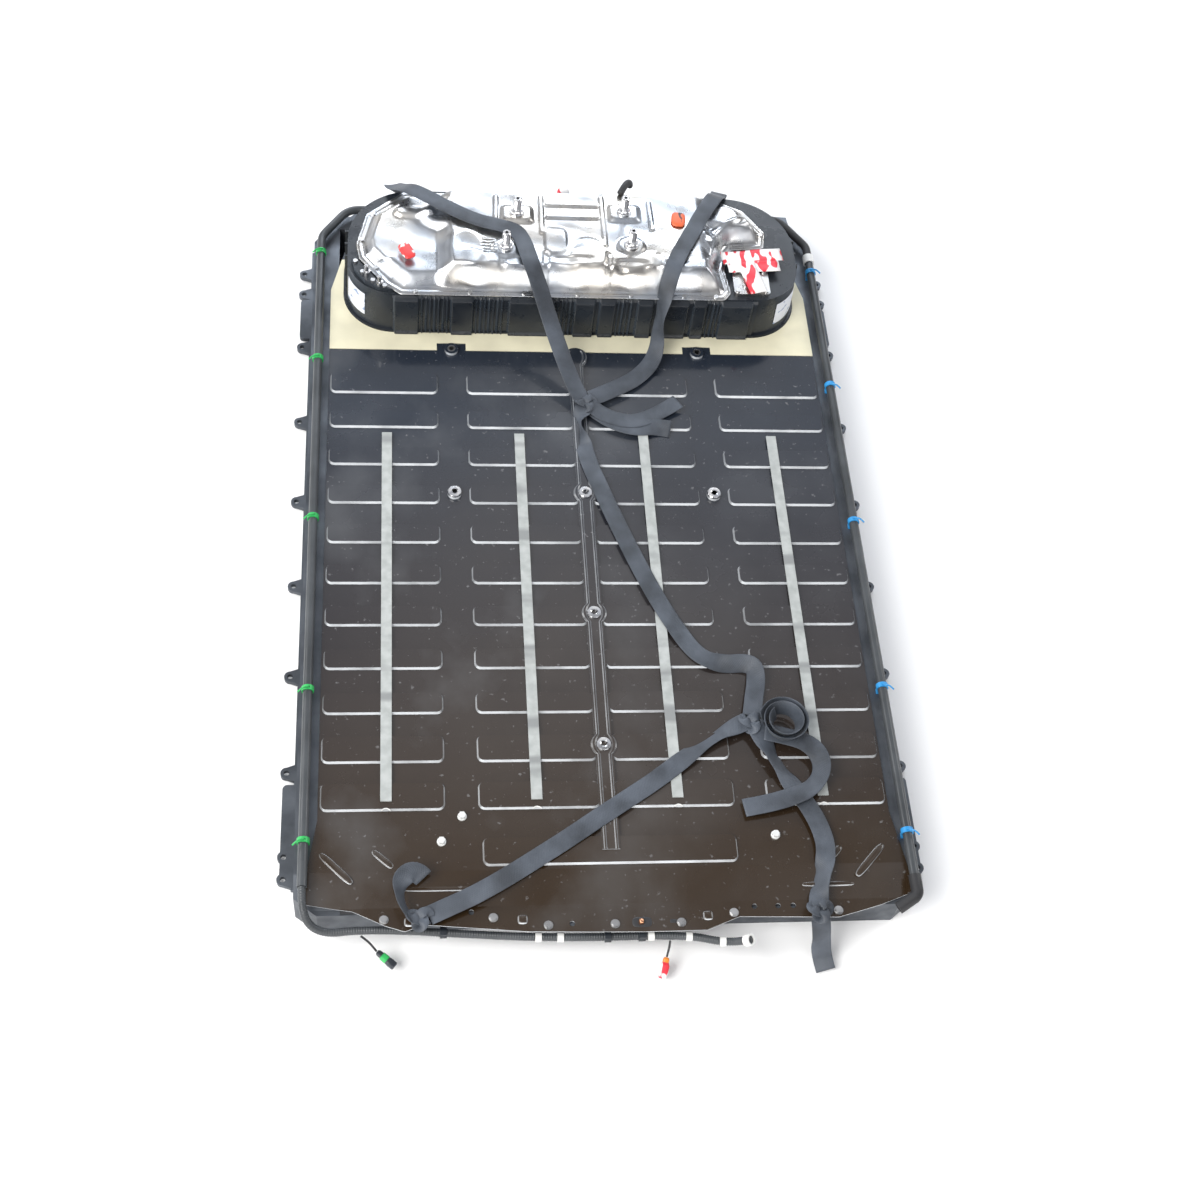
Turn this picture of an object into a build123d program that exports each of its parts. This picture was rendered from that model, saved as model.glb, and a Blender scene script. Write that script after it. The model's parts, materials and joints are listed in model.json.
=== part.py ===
from build123d import *
import math
import os

# Traction battery pack with prismatic cells, in millimetres. +Z is up, +Y points to the rear, where
# the electronics housing stands, and +X is to the right when the pack is seen from its front.
# The origin lies on the underside of the tray, on the middle plane.

os.makedirs("parts", exist_ok=True)

# ---- Cells and modules ---------------------------------------------------------------------------
CELL_LENGTH = 278.0
CELL_THICKNESS = 66.6
CELL_HEIGHT = 80.0
CELL_GAP = 0.6
TERMINAL_HEIGHT = 2.0
TERMINAL_RADIUS = 9.0
TERMINAL_OFFSET = 96.0
LINK_THICKNESS = 2.0
LINK_WIDTH = 26.0
INNER_COUNT = 28
OUTER_COUNT = 25
END_PLATE = 18.0
SIDE_PLATE = 4.0
SIDE_PLATE_HEIGHT = 70.0
MODULE_GAP = 2.0
BOARD_WIDTH = 46.0
BOARD_THICKNESS = 1.6
MODULE_FRONT = -990.0
MODULE_WIDTH = CELL_LENGTH + 2 * SIDE_PLATE
INNER_LENGTH = INNER_COUNT * CELL_THICKNESS + 2 * END_PLATE
OUTER_LENGTH = OUTER_COUNT * CELL_THICKNESS + 2 * END_PLATE

# ---- Enclosure across ----------------------------------------------------------------------------
CENTRE_BEAM_WIDTH = 28.0
CHANNEL_BEAM_WIDTH = 44.0
INNER_X = CENTRE_BEAM_WIDTH / 2 + MODULE_GAP + MODULE_WIDTH / 2
CHANNEL_X = INNER_X + MODULE_WIDTH / 2 + MODULE_GAP + CHANNEL_BEAM_WIDTH / 2
OUTER_X = CHANNEL_X + CHANNEL_BEAM_WIDTH / 2 + MODULE_GAP + MODULE_WIDTH / 2
RAIL_CLEARANCE = 14.0
RAIL_WIDTH = 40.0
RAIL_WALL = 4.0
RAIL_INNER = OUTER_X + MODULE_WIDTH / 2 + RAIL_CLEARANCE
RAIL_OUTER = RAIL_INNER + RAIL_WIDTH
LEDGE_WIDTH = 28.0
LEDGE_THICKNESS = 6.0
LID_HALF_WIDTH = RAIL_INNER - 8.0

# ---- Enclosure upwards ---------------------------------------------------------------------------
FLOOR_THICKNESS = 4.0
TRAY_LIP_THICKNESS = 3.0
TRAY_LIP_HEIGHT = 20.0
COLD_PLATE_THICKNESS = 6.0
CELL_FLOOR = FLOOR_THICKNESS + COLD_PLATE_THICKNESS
LINK_FLOOR = CELL_FLOOR + CELL_HEIGHT + TERMINAL_HEIGHT
HEADROOM = 21.5
LID_THICKNESS = 2.5
SEAL_THICKNESS = 3.5
LID_BOTTOM = LINK_FLOOR + LINK_THICKNESS + HEADROOM
LID_TOP = LID_BOTTOM + LID_THICKNESS
RAIL_TOP = LID_BOTTOM - SEAL_THICKNESS
FRONT_DROP = 20.0
FRONT_FLANGE_TOP = LID_TOP - FRONT_DROP
FRONT_SEAT = FRONT_FLANGE_TOP - LID_THICKNESS - SEAL_THICKNESS

# ---- Enclosure lengthways ------------------------------------------------------------------------
REAR_BAY = 40.2
REAR_INNER = MODULE_FRONT + INNER_LENGTH + REAR_BAY
REAR_MEMBER_DEPTH = 49.0
REAR_FACE = REAR_INNER + REAR_MEMBER_DEPTH
REAR_CUT_ALONG = 100.0
REAR_CUT_ACROSS = 70.0
RAIL_FRONT = MODULE_FRONT + 35.0
SLOPE_TOP_Y = MODULE_FRONT + 30.0
SLOPE_FOOT_Y = MODULE_FRONT - 46.0
FRONT_FACE = MODULE_FRONT - 58.0
FRONT_WALL = MODULE_FRONT - 4.0
FRONT_EDGE = MODULE_FRONT - 112.0
LID_REAR = REAR_INNER + 24.0
PENTHOUSE_REAR = REAR_INNER + 14.0
PENTHOUSE_DEPTH = 380.0
PENTHOUSE_FRONT = PENTHOUSE_REAR - PENTHOUSE_DEPTH

# ---- Lid relief ----------------------------------------------------------------------------------
BEAD_PITCH = CELL_THICKNESS * 16 / 9
BEAD_LENGTH = 57.4
LONG_BEAD_LENGTH = 70.0
BEAD_HEIGHT = 6.0
BEAD_CORNER = 16.0
BEAD_DRAFT = 28.0
BEAD_COUNT = 11
BEAD_FIRST_Y = PENTHOUSE_FRONT - 182.0
BEAD_CHANNEL_GAP = 36.5
RIB_HALF_WIDTH = 20.0
RIB_REACH = 36.0
FRONT_PANEL_HALF = 283.0
FRONT_PANEL_REAR = MODULE_FRONT + 107.0
FRONT_PANEL_FRONT = MODULE_FRONT + 38.0
BOSS_HEIGHT = 8.0
CENTRE_BOSS_RADIUS = 31.0
SIDE_BOSS_RADIUS = 18.0

# ---- Through sleeves -----------------------------------------------------------------------------
SLEEVE_RADIUS = 10.5
SLEEVE_BORE = 6.5
SLEEVE_CLEARANCE = 0.3
SLEEVE_ROWS = [PENTHOUSE_FRONT - rows * BEAD_PITCH for rows in (4.5, 7.5, 10.5)]
SLEEVE_REAR_Y = PENTHOUSE_FRONT - 90.0
SIDE_SLEEVE_REAR_Y = PENTHOUSE_FRONT - 67.0
CENTRE_SLEEVES = [(0.0, y) for y in [SLEEVE_REAR_Y] + SLEEVE_ROWS]
SIDE_SLEEVES = [(side * CHANNEL_X, y) for side in (-1, 1) for y in (SIDE_SLEEVE_REAR_Y, SLEEVE_ROWS[0])]
ALL_SLEEVES = CENTRE_SLEEVES + SIDE_SLEEVES

# ---- Mounting lugs -------------------------------------------------------------------------------
LUG_HOLE_OFFSET = 29.0
LUG_HOLE_RADIUS = 6.5
LUG_RADIUS = 14.0
LUG_ROOT = 25.0
LUG_THICKNESS = 12.0
LUG_BOTTOM = 6.0
FLANGE_STRIP = 12.0
LUG_HOLE_X = RAIL_OUTER + LUG_HOLE_OFFSET
LUG_COUNT = 6
LUG_FIRST_Y = REAR_INNER - 343.0
LUG_LAST_Y = MODULE_FRONT + 323.0
LUG_PITCH = (LUG_FIRST_Y - LUG_LAST_Y) / (LUG_COUNT - 1)
LUG_ROW = [LUG_FIRST_Y - index * LUG_PITCH for index in range(LUG_COUNT)]
REAR_LUGS = [REAR_INNER - 80.0, REAR_INNER - 154.0]
FRONT_LUGS = [MODULE_FRONT + 115.0, MODULE_FRONT + 61.0]
WIDE_TAB_REACH = 38.0

# ---- Electronics housing -------------------------------------------------------------------------
BASE_HALF_WIDTH = 600.0
BASE_HEIGHT = 135.0
BASE_CORNER = 125.0
BASE_REAR_CORNER = 185.0
BASE_WALL = 5.0
BASE_DECK = 7.0
BASE_DRAFT = 2.0
BASE_TOP = LID_TOP + BASE_HEIGHT
BASE_RIB_WIDTH = 6.0
BASE_RIB_PROUD = 7.0
BASE_RIB_PITCH = 44.0
BASE_FOOT_HEIGHT = 6.0
BASE_RIB_HEIGHT = BASE_HEIGHT - 12.0
LAND_WIDTH = 32.0
HOUSING_SEAL = 2.0
COVER_THICKNESS = 2.5
COVER_FLOOR = BASE_TOP + HOUSING_SEAL
COVER_TOP = COVER_FLOOR + 68.0
COVER_DRAFT = 22.0
LID_OPENING_MARGIN = 45.0
PANEL_THICKNESS = 2.0
PANEL_MARGIN = 68.0
PANEL_NOTCH_DEPTH = 24.0

# ---- Coolant pipes -------------------------------------------------------------------------------
PIPE_RADIUS = 11.0
PIPE_WALL = 1.5
PIPE_X = RAIL_INNER + RAIL_WIDTH / 2
PIPE_RISE = 13.0
PIPE_Z = RAIL_TOP + PIPE_RISE + PIPE_RADIUS
PIPE_FRONT = MODULE_FRONT - 10.0
PIPE_REAR = REAR_INNER - 101.0
CLIP_WALL = 3.0
CLIP_WIDTH = 12.0
CLIP_GAP = 0.2
CLIP_REAR_LEFT = REAR_INNER - 111.0
CLIP_REAR_RIGHT = REAR_INNER - 148.0
CLIP_FRONT = MODULE_FRONT + 97.0
LEFT_CLIP_SHARES = (0.0, 0.215, 0.505, 0.782, 1.0)
RIGHT_CLIP_SHARES = (0.0, 0.238, 0.497, 0.779, 1.0)
LINE_RADIUS = PIPE_RADIUS - PIPE_WALL - 0.5
LINE_WALL = 1.5

# ---- Fasteners and small clearances --------------------------------------------------------------
M8_RADIUS = 4.0
M8_HEAD_RADIUS = 8.5
M8_FLANGE_RADIUS = 10.2
M8_HEAD_HEIGHT = 7.0
FRONT_BOLT_GRIP = 17.0
LID_BOLT_HEAD = 12.0
M6_RADIUS = 3.0
M6_HEAD_RADIUS = 6.0
M6_HEAD_HEIGHT = 5.0
HOLE_CLEARANCE = 0.3
FIT_GAP = 0.3


def save(piece, node):
    """Label a finished piece and write it as its own file."""
    piece.part.label = node
    export_step(piece.part, f"parts/{node}.step")


def polygon(points):
    """A filled polygon in the sketch that is open."""
    Polygon(*points, align=None)


def box_between(low, high, mode=Mode.ADD):
    """A box between two corners, in the part that is open."""
    centre = [(a + b) / 2 for a, b in zip(low, high)]
    size = [b - a for a, b in zip(low, high)]
    with Locations(tuple(centre)):
        Box(*size, mode=mode)


def mirrored(points):
    """A right-hand outline, front to rear, closed by its mirror image on the left."""
    return points + [(-x, y) for x, y in reversed(points)]


# ---- Modules -------------------------------------------------------------------------------------
# A module is a column of cells along Y between two end plates and two side plates.
OUTER_MODULES = [(side * OUTER_X, OUTER_COUNT, OUTER_LENGTH) for side in (-1, 1)]
INNER_MODULES = [(side * INNER_X, INNER_COUNT, INNER_LENGTH) for side in (-1, 1)]
MODULES = OUTER_MODULES + INNER_MODULES


def build_cells(node, modules):
    """Prismatic cells with two terminals each, a small gap apart."""
    with BuildPart() as cells:
        with BuildSketch(Plane.XY.offset(CELL_FLOOR)):
            for x, count, length in modules:
                with Locations((x, MODULE_FRONT + length / 2)):
                    with GridLocations(0, CELL_THICKNESS, 1, count):
                        RectangleRounded(CELL_LENGTH - CELL_GAP, CELL_THICKNESS - CELL_GAP, 3)
        extrude(amount=CELL_HEIGHT)
        with BuildSketch(Plane.XY.offset(CELL_FLOOR + CELL_HEIGHT)):
            for x, count, length in modules:
                with Locations((x, MODULE_FRONT + length / 2)):
                    with GridLocations(2 * TERMINAL_OFFSET, CELL_THICKNESS, 2, count):
                        Circle(TERMINAL_RADIUS)
        extrude(amount=TERMINAL_HEIGHT)
    save(cells, node)


build_cells("cells_outer_modules", OUTER_MODULES)
build_cells("cells_inner_modules", INNER_MODULES)

# Each link joins two neighbouring cells, on the left and on the right by turns.
LINK_PLACES = [
    (
        module_x + (-1) ** (index + 1) * TERMINAL_OFFSET,
        MODULE_FRONT + END_PLATE + (index + 1) * CELL_THICKNESS,
    )
    for module_x, count, _ in MODULES
    for index in range(count - 1)
]
with BuildPart() as cell_links:
    with BuildSketch(Plane.XY.offset(LINK_FLOOR)):
        with Locations(*LINK_PLACES):
            Rectangle(LINK_WIDTH, CELL_THICKNESS + 2 * TERMINAL_RADIUS)
    extrude(amount=LINK_THICKNESS)
save(cell_links, "cell_links")

with BuildPart() as module_frames:
    with BuildSketch(Plane.XY.offset(CELL_FLOOR)):
        for module_x, _, length in MODULES:
            with Locations((module_x, MODULE_FRONT + length / 2)):
                with GridLocations(0, length - END_PLATE, 1, 2):
                    Rectangle(MODULE_WIDTH, END_PLATE - CELL_GAP)
                with GridLocations(MODULE_WIDTH - SIDE_PLATE, 0, 2, 1):
                    Rectangle(SIDE_PLATE, length - 2 * END_PLATE)
    extrude(amount=SIDE_PLATE_HEIGHT)
save(module_frames, "module_frames")

with BuildPart() as monitoring_boards:
    with BuildSketch(Plane.XY.offset(CELL_FLOOR + CELL_HEIGHT)):
        for module_x, _, length in MODULES:
            with Locations((module_x, MODULE_FRONT + length / 2)):
                RectangleRounded(BOARD_WIDTH, length - 120, 6)
    extrude(amount=BOARD_THICKNESS)
save(monitoring_boards, "monitoring_boards")

with BuildPart() as cold_plates:
    with BuildSketch(Plane.XY.offset(FLOOR_THICKNESS)):
        for module_x, _, length in MODULES:
            with Locations((module_x, MODULE_FRONT + length / 2)):
                RectangleRounded(CELL_LENGTH - 6, length - 10, 12)
    extrude(amount=COLD_PLATE_THICKNESS)
save(cold_plates, "cold_plates")

# ---- Tray and beams ------------------------------------------------------------------------------
with BuildPart() as lower_tray:
    box_between((-RAIL_INNER, FRONT_WALL, 0), (RAIL_INNER, REAR_INNER, FLOOR_THICKNESS))
    for side in (-1, 1):
        with BuildSketch(Plane.XY.offset(FLOOR_THICKNESS)):
            with Locations((side * (RAIL_INNER - TRAY_LIP_THICKNESS / 2), (RAIL_FRONT + REAR_INNER) / 2)):
                Rectangle(TRAY_LIP_THICKNESS, REAR_INNER - RAIL_FRONT)
        extrude(amount=TRAY_LIP_HEIGHT)
    with Locations(*[(x, y, 0) for x, y in ALL_SLEEVES]):
        Cylinder(SLEEVE_RADIUS + SLEEVE_CLEARANCE, 3 * FLOOR_THICKNESS, mode=Mode.SUBTRACT)
save(lower_tray, "lower_tray")


def build_beams(node, places, width, sleeves):
    """Beams between modules, with a clear hole for each sleeve."""
    with BuildPart() as beams:
        for x in places:
            box_between(
                (x - width / 2, SLOPE_TOP_Y + FIT_GAP, FLOOR_THICKNESS),
                (x + width / 2, REAR_INNER - REAR_BAY, LID_BOTTOM - FIT_GAP),
            )
        with Locations(*[(x, y, LID_TOP / 2) for x, y in sleeves]):
            Cylinder(SLEEVE_RADIUS + SLEEVE_CLEARANCE, 2 * LID_TOP, mode=Mode.SUBTRACT)
    save(beams, node)


build_beams("beam_centre", [0.0], CENTRE_BEAM_WIDTH, CENTRE_SLEEVES)
build_beams("channel_beams", [-CHANNEL_X, CHANNEL_X], CHANNEL_BEAM_WIDTH, SIDE_SLEEVES)

with BuildPart() as through_sleeves:
    with BuildSketch(Plane.XY):
        with Locations(*ALL_SLEEVES):
            Circle(SLEEVE_RADIUS)
            Circle(SLEEVE_BORE, mode=Mode.SUBTRACT)
    extrude(amount=LID_TOP + BOSS_HEIGHT)
save(through_sleeves, "through_sleeves")

# ---- Side rails with their mounting lugs ---------------------------------------------------------
REAR_TAB = (LUG_ROW[0] + 30.0, REAR_LUGS[1] - 20.0)
FRONT_TAB = (MODULE_FRONT + 50.0, LUG_ROW[-1] - 30.0)
TAB_CORNER = 12.0

# What is taken off the two outer rear corners, over their whole height.
with BuildPart() as rear_corners:
    with BuildSketch(Plane.XY):
        for side in (-1, 1):
            polygon([
                (side * (RAIL_OUTER + 1), REAR_FACE - REAR_CUT_ALONG),
                (side * (RAIL_OUTER + 1), REAR_FACE + 1),
                (side * (RAIL_OUTER - REAR_CUT_ACROSS), REAR_FACE + 1),
            ])
    extrude(amount=LID_TOP)


def build_rail(node, side):
    """An extruded two-chamber rail with an inward ledge for the lid and lugs for the body."""
    with BuildPart() as rail:
        with BuildSketch(Plane.XZ.offset(-REAR_INNER)):
            with Locations((side * (RAIL_INNER + RAIL_WIDTH / 2), RAIL_TOP / 2)):
                Rectangle(RAIL_WIDTH, RAIL_TOP)
            with Locations((side * (RAIL_INNER - LEDGE_WIDTH / 2), RAIL_TOP - LEDGE_THICKNESS / 2)):
                Rectangle(LEDGE_WIDTH, LEDGE_THICKNESS)
            chamber_height = (RAIL_TOP - 3 * RAIL_WALL) / 2
            for middle in (RAIL_WALL + chamber_height / 2, RAIL_TOP - RAIL_WALL - chamber_height / 2):
                with Locations((side * (RAIL_INNER + RAIL_WIDTH / 2), middle)):
                    Rectangle(RAIL_WIDTH - 2 * RAIL_WALL, chamber_height, mode=Mode.SUBTRACT)
        extrude(amount=REAR_INNER - RAIL_FRONT)
        with BuildSketch(Plane.XY.offset(LUG_BOTTOM)):
            with Locations((side * (RAIL_OUTER + FLANGE_STRIP / 2 - 1), (RAIL_FRONT + REAR_INNER) / 2)):
                Rectangle(FLANGE_STRIP, REAR_INNER - RAIL_FRONT)
            for lug_y in LUG_ROW + REAR_LUGS + FRONT_LUGS:
                with Locations((side * LUG_HOLE_X, lug_y)):
                    Circle(LUG_RADIUS)
                polygon([
                    (side * (RAIL_OUTER - 1), lug_y - LUG_ROOT),
                    (side * LUG_HOLE_X, lug_y - LUG_RADIUS),
                    (side * LUG_HOLE_X, lug_y + LUG_RADIUS),
                    (side * (RAIL_OUTER - 1), lug_y + LUG_ROOT),
                ])
            for tab_low, tab_high in (REAR_TAB, FRONT_TAB):
                with Locations((side * (RAIL_OUTER + WIDE_TAB_REACH / 2 - 1), (tab_low + tab_high) / 2)):
                    RectangleRounded(WIDE_TAB_REACH, tab_high - tab_low, TAB_CORNER)
            with Locations(*[(side * LUG_HOLE_X, y) for y in LUG_ROW + REAR_LUGS + FRONT_LUGS]):
                Circle(LUG_HOLE_RADIUS, mode=Mode.SUBTRACT)
        extrude(amount=LUG_THICKNESS)
        add(rear_corners.part, mode=Mode.SUBTRACT)
    save(rail, node)


build_rail("side_rail_left", -1)
build_rail("side_rail_right", 1)

# ---- Lid outline and front casting ---------------------------------------------------------------
CORNER_FLARE = 31.0
LID_FRONT_RIGHT = [
    (LID_HALF_WIDTH, MODULE_FRONT + 155),
    (LID_HALF_WIDTH + CORNER_FLARE, MODULE_FRONT - 33),
    (593, MODULE_FRONT - 62),
    (497, MODULE_FRONT - 88),
    (275, MODULE_FRONT - 82),
    (200, FRONT_EDGE + 1),
    (60, FRONT_EDGE),
]
LID_FRONT_LEFT = [
    (-185, FRONT_EDGE + 6),
    (-415, MODULE_FRONT - 85),
    (-452, MODULE_FRONT - 100),
    (-494, MODULE_FRONT - 86),
    (-564, MODULE_FRONT - 52),
    (-LID_HALF_WIDTH - CORNER_FLARE, MODULE_FRONT - 34),
    (-LID_HALF_WIDTH, MODULE_FRONT + 155),
]
LID_REAR_CORNERS = [
    (-LID_HALF_WIDTH, REAR_INNER - 230),
    (-600, REAR_INNER - 60),
    (-550, LID_REAR),
    (550, LID_REAR),
    (600, REAR_INNER - 60),
    (LID_HALF_WIDTH, REAR_INNER - 230),
]
LID_OUTLINE = LID_FRONT_RIGHT + LID_FRONT_LEFT + LID_REAR_CORNERS
OUTLINE_FILLET = 9.0


def lid_section(drop, thickness, rear):
    """The lid's side section, a given drop below its top face and a given thickness."""
    top = LID_TOP - drop
    foot = FRONT_FLANGE_TOP - drop
    upper = [(rear, top), (SLOPE_TOP_Y, top), (SLOPE_FOOT_Y, foot), (FRONT_EDGE - 20, foot)]
    return upper + [(y, z - thickness) for y, z in reversed(upper)]


with BuildSketch() as lid_plan:
    Polygon(*LID_OUTLINE, align=None)
    fillet(lid_plan.vertices(), OUTLINE_FILLET)


FRONT_BOLTS = [(x, MODULE_FRONT - 73) for x in (-497, -263, 263, 497)]
FRONT_BOLTS += [(x, MODULE_FRONT - 93) for x in (-145, 0, 145)]
FRONT_HOLES = [(x, MODULE_FRONT - 59) for x in (-397, -363, -310, 310, 363, 397)]
CASTING_LIP = 10.0
REAR_OF_LIP = MODULE_FRONT - 45.0
CASTING_INSET = 8.0

with BuildPart() as front_casting:
    with BuildSketch(Plane.YZ):
        polygon([
            (RAIL_FRONT, 0),
            (RAIL_FRONT, RAIL_TOP),
            (SLOPE_TOP_Y, RAIL_TOP),
            (SLOPE_FOOT_Y, FRONT_SEAT),
            (FRONT_FACE, FRONT_SEAT),
            (FRONT_FACE, 0),
        ])
    extrude(amount=RAIL_OUTER, both=True)
    with BuildSketch(Plane.XY):
        polygon(mirrored([(RAIL_OUTER, RAIL_FRONT), (RAIL_OUTER, MODULE_FRONT - 20), (640, FRONT_FACE)]))
    extrude(amount=LID_TOP, mode=Mode.INTERSECT)
    box_between((-RAIL_INNER, FRONT_WALL, -1), (RAIL_INNER, RAIL_FRONT + 1, LID_TOP), mode=Mode.SUBTRACT)
    with BuildSketch(Plane.XY.offset(FRONT_SEAT - CASTING_LIP)):
        add(lid_plan.sketch)
        offset(amount=-CASTING_INSET, mode=Mode.REPLACE)
        with Locations((0, REAR_OF_LIP + 1500)):
            Rectangle(4 * RAIL_OUTER, 3000, mode=Mode.SUBTRACT)
    extrude(amount=CASTING_LIP)
    with Locations(*[(x, y, FRONT_SEAT) for x, y in FRONT_BOLTS]):
        Cylinder(M8_RADIUS + HOLE_CLEARANCE, 60, mode=Mode.SUBTRACT)
save(front_casting, "front_casting")

# ---- Pressed lid ---------------------------------------------------------------------------------
INNER_BEAD = (RIB_HALF_WIDTH - 4, CHANNEL_X - BEAD_CHANNEL_GAP)
OUTER_BEAD = (CHANNEL_X + BEAD_CHANNEL_GAP, LID_HALF_WIDTH - 4)
LONG_BEADS = (0, BEAD_COUNT - 2, BEAD_COUNT - 1)
LID_BOLTS = [(-CHANNEL_X, MODULE_FRONT + 158), (-372, MODULE_FRONT + 98), (372, MODULE_FRONT + 101)]


def bead_faces(inset=0.0):
    """Every bead of the four columns and the cross panel at the front, in the open sketch."""
    for index in range(BEAD_COUNT):
        bead_y = BEAD_FIRST_Y - index * BEAD_PITCH
        bead_length = LONG_BEAD_LENGTH if index in LONG_BEADS else BEAD_LENGTH
        for low, high in (INNER_BEAD, OUTER_BEAD):
            for side in (-1, 1):
                with Locations((side * (low + high) / 2, bead_y)):
                    RectangleRounded(high - low - 2 * inset, bead_length - 2 * inset, BEAD_CORNER - inset)
    panel_mid = (FRONT_PANEL_REAR + FRONT_PANEL_FRONT) / 2
    with Locations((0, panel_mid)):
        panel_length = FRONT_PANEL_REAR - FRONT_PANEL_FRONT
        RectangleRounded(2 * (FRONT_PANEL_HALF - inset), panel_length - 2 * inset, BEAD_CORNER - inset)


def rib_faces(inset=0.0):
    """The centre rib with a round swelling at each sleeve, in the open sketch."""
    rib_rear = SLEEVE_REAR_Y + RIB_HALF_WIDTH
    rib_front = FRONT_PANEL_REAR - RIB_REACH
    with Locations((0, (rib_rear + rib_front) / 2)):
        Rectangle(2 * (RIB_HALF_WIDTH - inset), rib_rear - rib_front - 2 * inset)
    with Locations(*CENTRE_SLEEVES):
        Circle(CENTRE_BOSS_RADIUS - inset)


with BuildPart() as top_cover:
    with BuildSketch(Plane.YZ):
        polygon(lid_section(0, LID_THICKNESS, LID_REAR))
    extrude(amount=RAIL_OUTER, both=True)
    with BuildSketch(Plane.XY):
        add(lid_plan.sketch)
    extrude(amount=LID_TOP, mode=Mode.INTERSECT)
    with BuildSketch(Plane.XY.offset(LID_TOP - 0.5)):
        bead_faces()
    extrude(amount=BEAD_HEIGHT + 0.5, taper=BEAD_DRAFT)
    with BuildSketch(Plane.XY.offset(LID_TOP - 0.5)):
        rib_faces()
        with Locations(*SIDE_SLEEVES):
            Circle(SIDE_BOSS_RADIUS)
    extrude(amount=BOSS_HEIGHT + 0.5)
    with BuildSketch(Plane.XY.offset(LID_BOTTOM)):
        bead_faces(LID_THICKNESS)
    extrude(amount=BEAD_HEIGHT, taper=BEAD_DRAFT, mode=Mode.SUBTRACT)
    with BuildSketch(Plane.XY.offset(LID_BOTTOM)):
        with Locations((0, (PENTHOUSE_FRONT + PENTHOUSE_REAR) / 2)):
            RectangleRounded(
                2 * (BASE_HALF_WIDTH - LID_OPENING_MARGIN),
                PENTHOUSE_DEPTH - 2 * LID_OPENING_MARGIN,
                BASE_CORNER - LID_OPENING_MARGIN,
            )
    extrude(amount=LID_THICKNESS, mode=Mode.SUBTRACT)
    with Locations(*[(x, y, LID_TOP) for x, y in ALL_SLEEVES]):
        Cylinder(SLEEVE_RADIUS + SLEEVE_CLEARANCE, 60, mode=Mode.SUBTRACT)
    with Locations(*[(x, y, LID_TOP) for x, y in LID_BOLTS + FRONT_BOLTS]):
        Cylinder(M8_RADIUS + HOLE_CLEARANCE, 60, mode=Mode.SUBTRACT)
    with Locations(*[(x, y, FRONT_FLANGE_TOP) for x, y in FRONT_HOLES + [(-93, MODULE_FRONT - 90)]]):
        Cylinder(M6_HEAD_RADIUS, 2 * LID_THICKNESS + 1, mode=Mode.SUBTRACT)
save(top_cover, "top_cover")


def build_bolts(node, places, base, head_height, shank):
    """A group of M8 flange-headed bolts standing on one level."""
    flange_height = 0.3 * head_height
    with BuildPart() as bolts:
        with BuildSketch(Plane.XY.offset(base)):
            with Locations(*places):
                Circle(M8_FLANGE_RADIUS)
        extrude(amount=flange_height)
        with BuildSketch(Plane.XY.offset(base + flange_height)):
            with Locations(*places):
                RegularPolygon(M8_HEAD_RADIUS, 6)
        extrude(amount=head_height - flange_height)
        with BuildSketch(Plane.XY.offset(base)):
            with Locations(*places):
                Circle(M8_RADIUS)
        extrude(amount=-shank)
    save(bolts, node)


build_bolts("front_flange_bolts", FRONT_BOLTS, FRONT_FLANGE_TOP, M8_HEAD_HEIGHT, FRONT_BOLT_GRIP)
build_bolts("lid_bolts", LID_BOLTS, LID_TOP, LID_BOLT_HEAD, LID_THICKNESS)

# ---- Rear cross member, bracket plate and pressure-relief valves ---------------------------------
VENT_X = 330.0
VENT_Z = LID_TOP - 32.0
VENT_RADIUS = 15.0
VENT_DEPTH = 16.0
VENT_STEM = 4.0
POPPET_TRAVEL = 3.0
PLATE_TOP = LID_TOP - 60.0
PLATE_THICKNESS = 10.0
PLATE_REACH = 100.0
REAR_WALL = 5.0

with BuildPart() as rear_cross_member:
    box_between((-RAIL_OUTER, REAR_INNER, 0), (RAIL_OUTER, REAR_FACE, RAIL_TOP))
    box_between(
        (-RAIL_OUTER + REAR_WALL, REAR_INNER + REAR_WALL, REAR_WALL),
        (RAIL_OUTER - REAR_WALL, REAR_FACE + 1, PLATE_TOP - PLATE_THICKNESS - 14),
        mode=Mode.SUBTRACT,
    )
    with Locations(*[Location((side * VENT_X, REAR_FACE, VENT_Z), (90, 0, 0)) for side in (-1, 1)]):
        Cylinder(VENT_RADIUS + HOLE_CLEARANCE, 3 * REAR_MEMBER_DEPTH, mode=Mode.SUBTRACT)
    add(rear_corners.part, mode=Mode.SUBTRACT)
save(rear_cross_member, "rear_cross_member")

with BuildPart() as rear_bracket_plate:
    with BuildSketch(Plane.XY.offset(PLATE_TOP - PLATE_THICKNESS)):
        polygon([
            (672, REAR_FACE),
            (657, REAR_FACE + 30),
            (651, REAR_FACE + 93),
            (555, REAR_FACE + 98),
            (-484, REAR_FACE + PLATE_REACH),
            (-587, REAR_FACE + 63),
            (-652, REAR_FACE),
        ])
        with Locations(*[(x, REAR_FACE + 52) for x in (-420, -140, 140, 420)]):
            SlotOverall(70, 26, mode=Mode.SUBTRACT)
    extrude(amount=PLATE_THICKNESS)
save(rear_bracket_plate, "rear_bracket_plate")

VENT_SIDES = {"left": -1, "right": 1}
VENT_PLATE = 3.0


def vent_axis(side, depth=0.0):
    """The plane across a valve, a depth behind its inner end, facing the rear."""
    return Plane(origin=(side * VENT_X, REAR_FACE - VENT_DEPTH + depth, VENT_Z), z_dir=(0, 1, 0))


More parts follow.
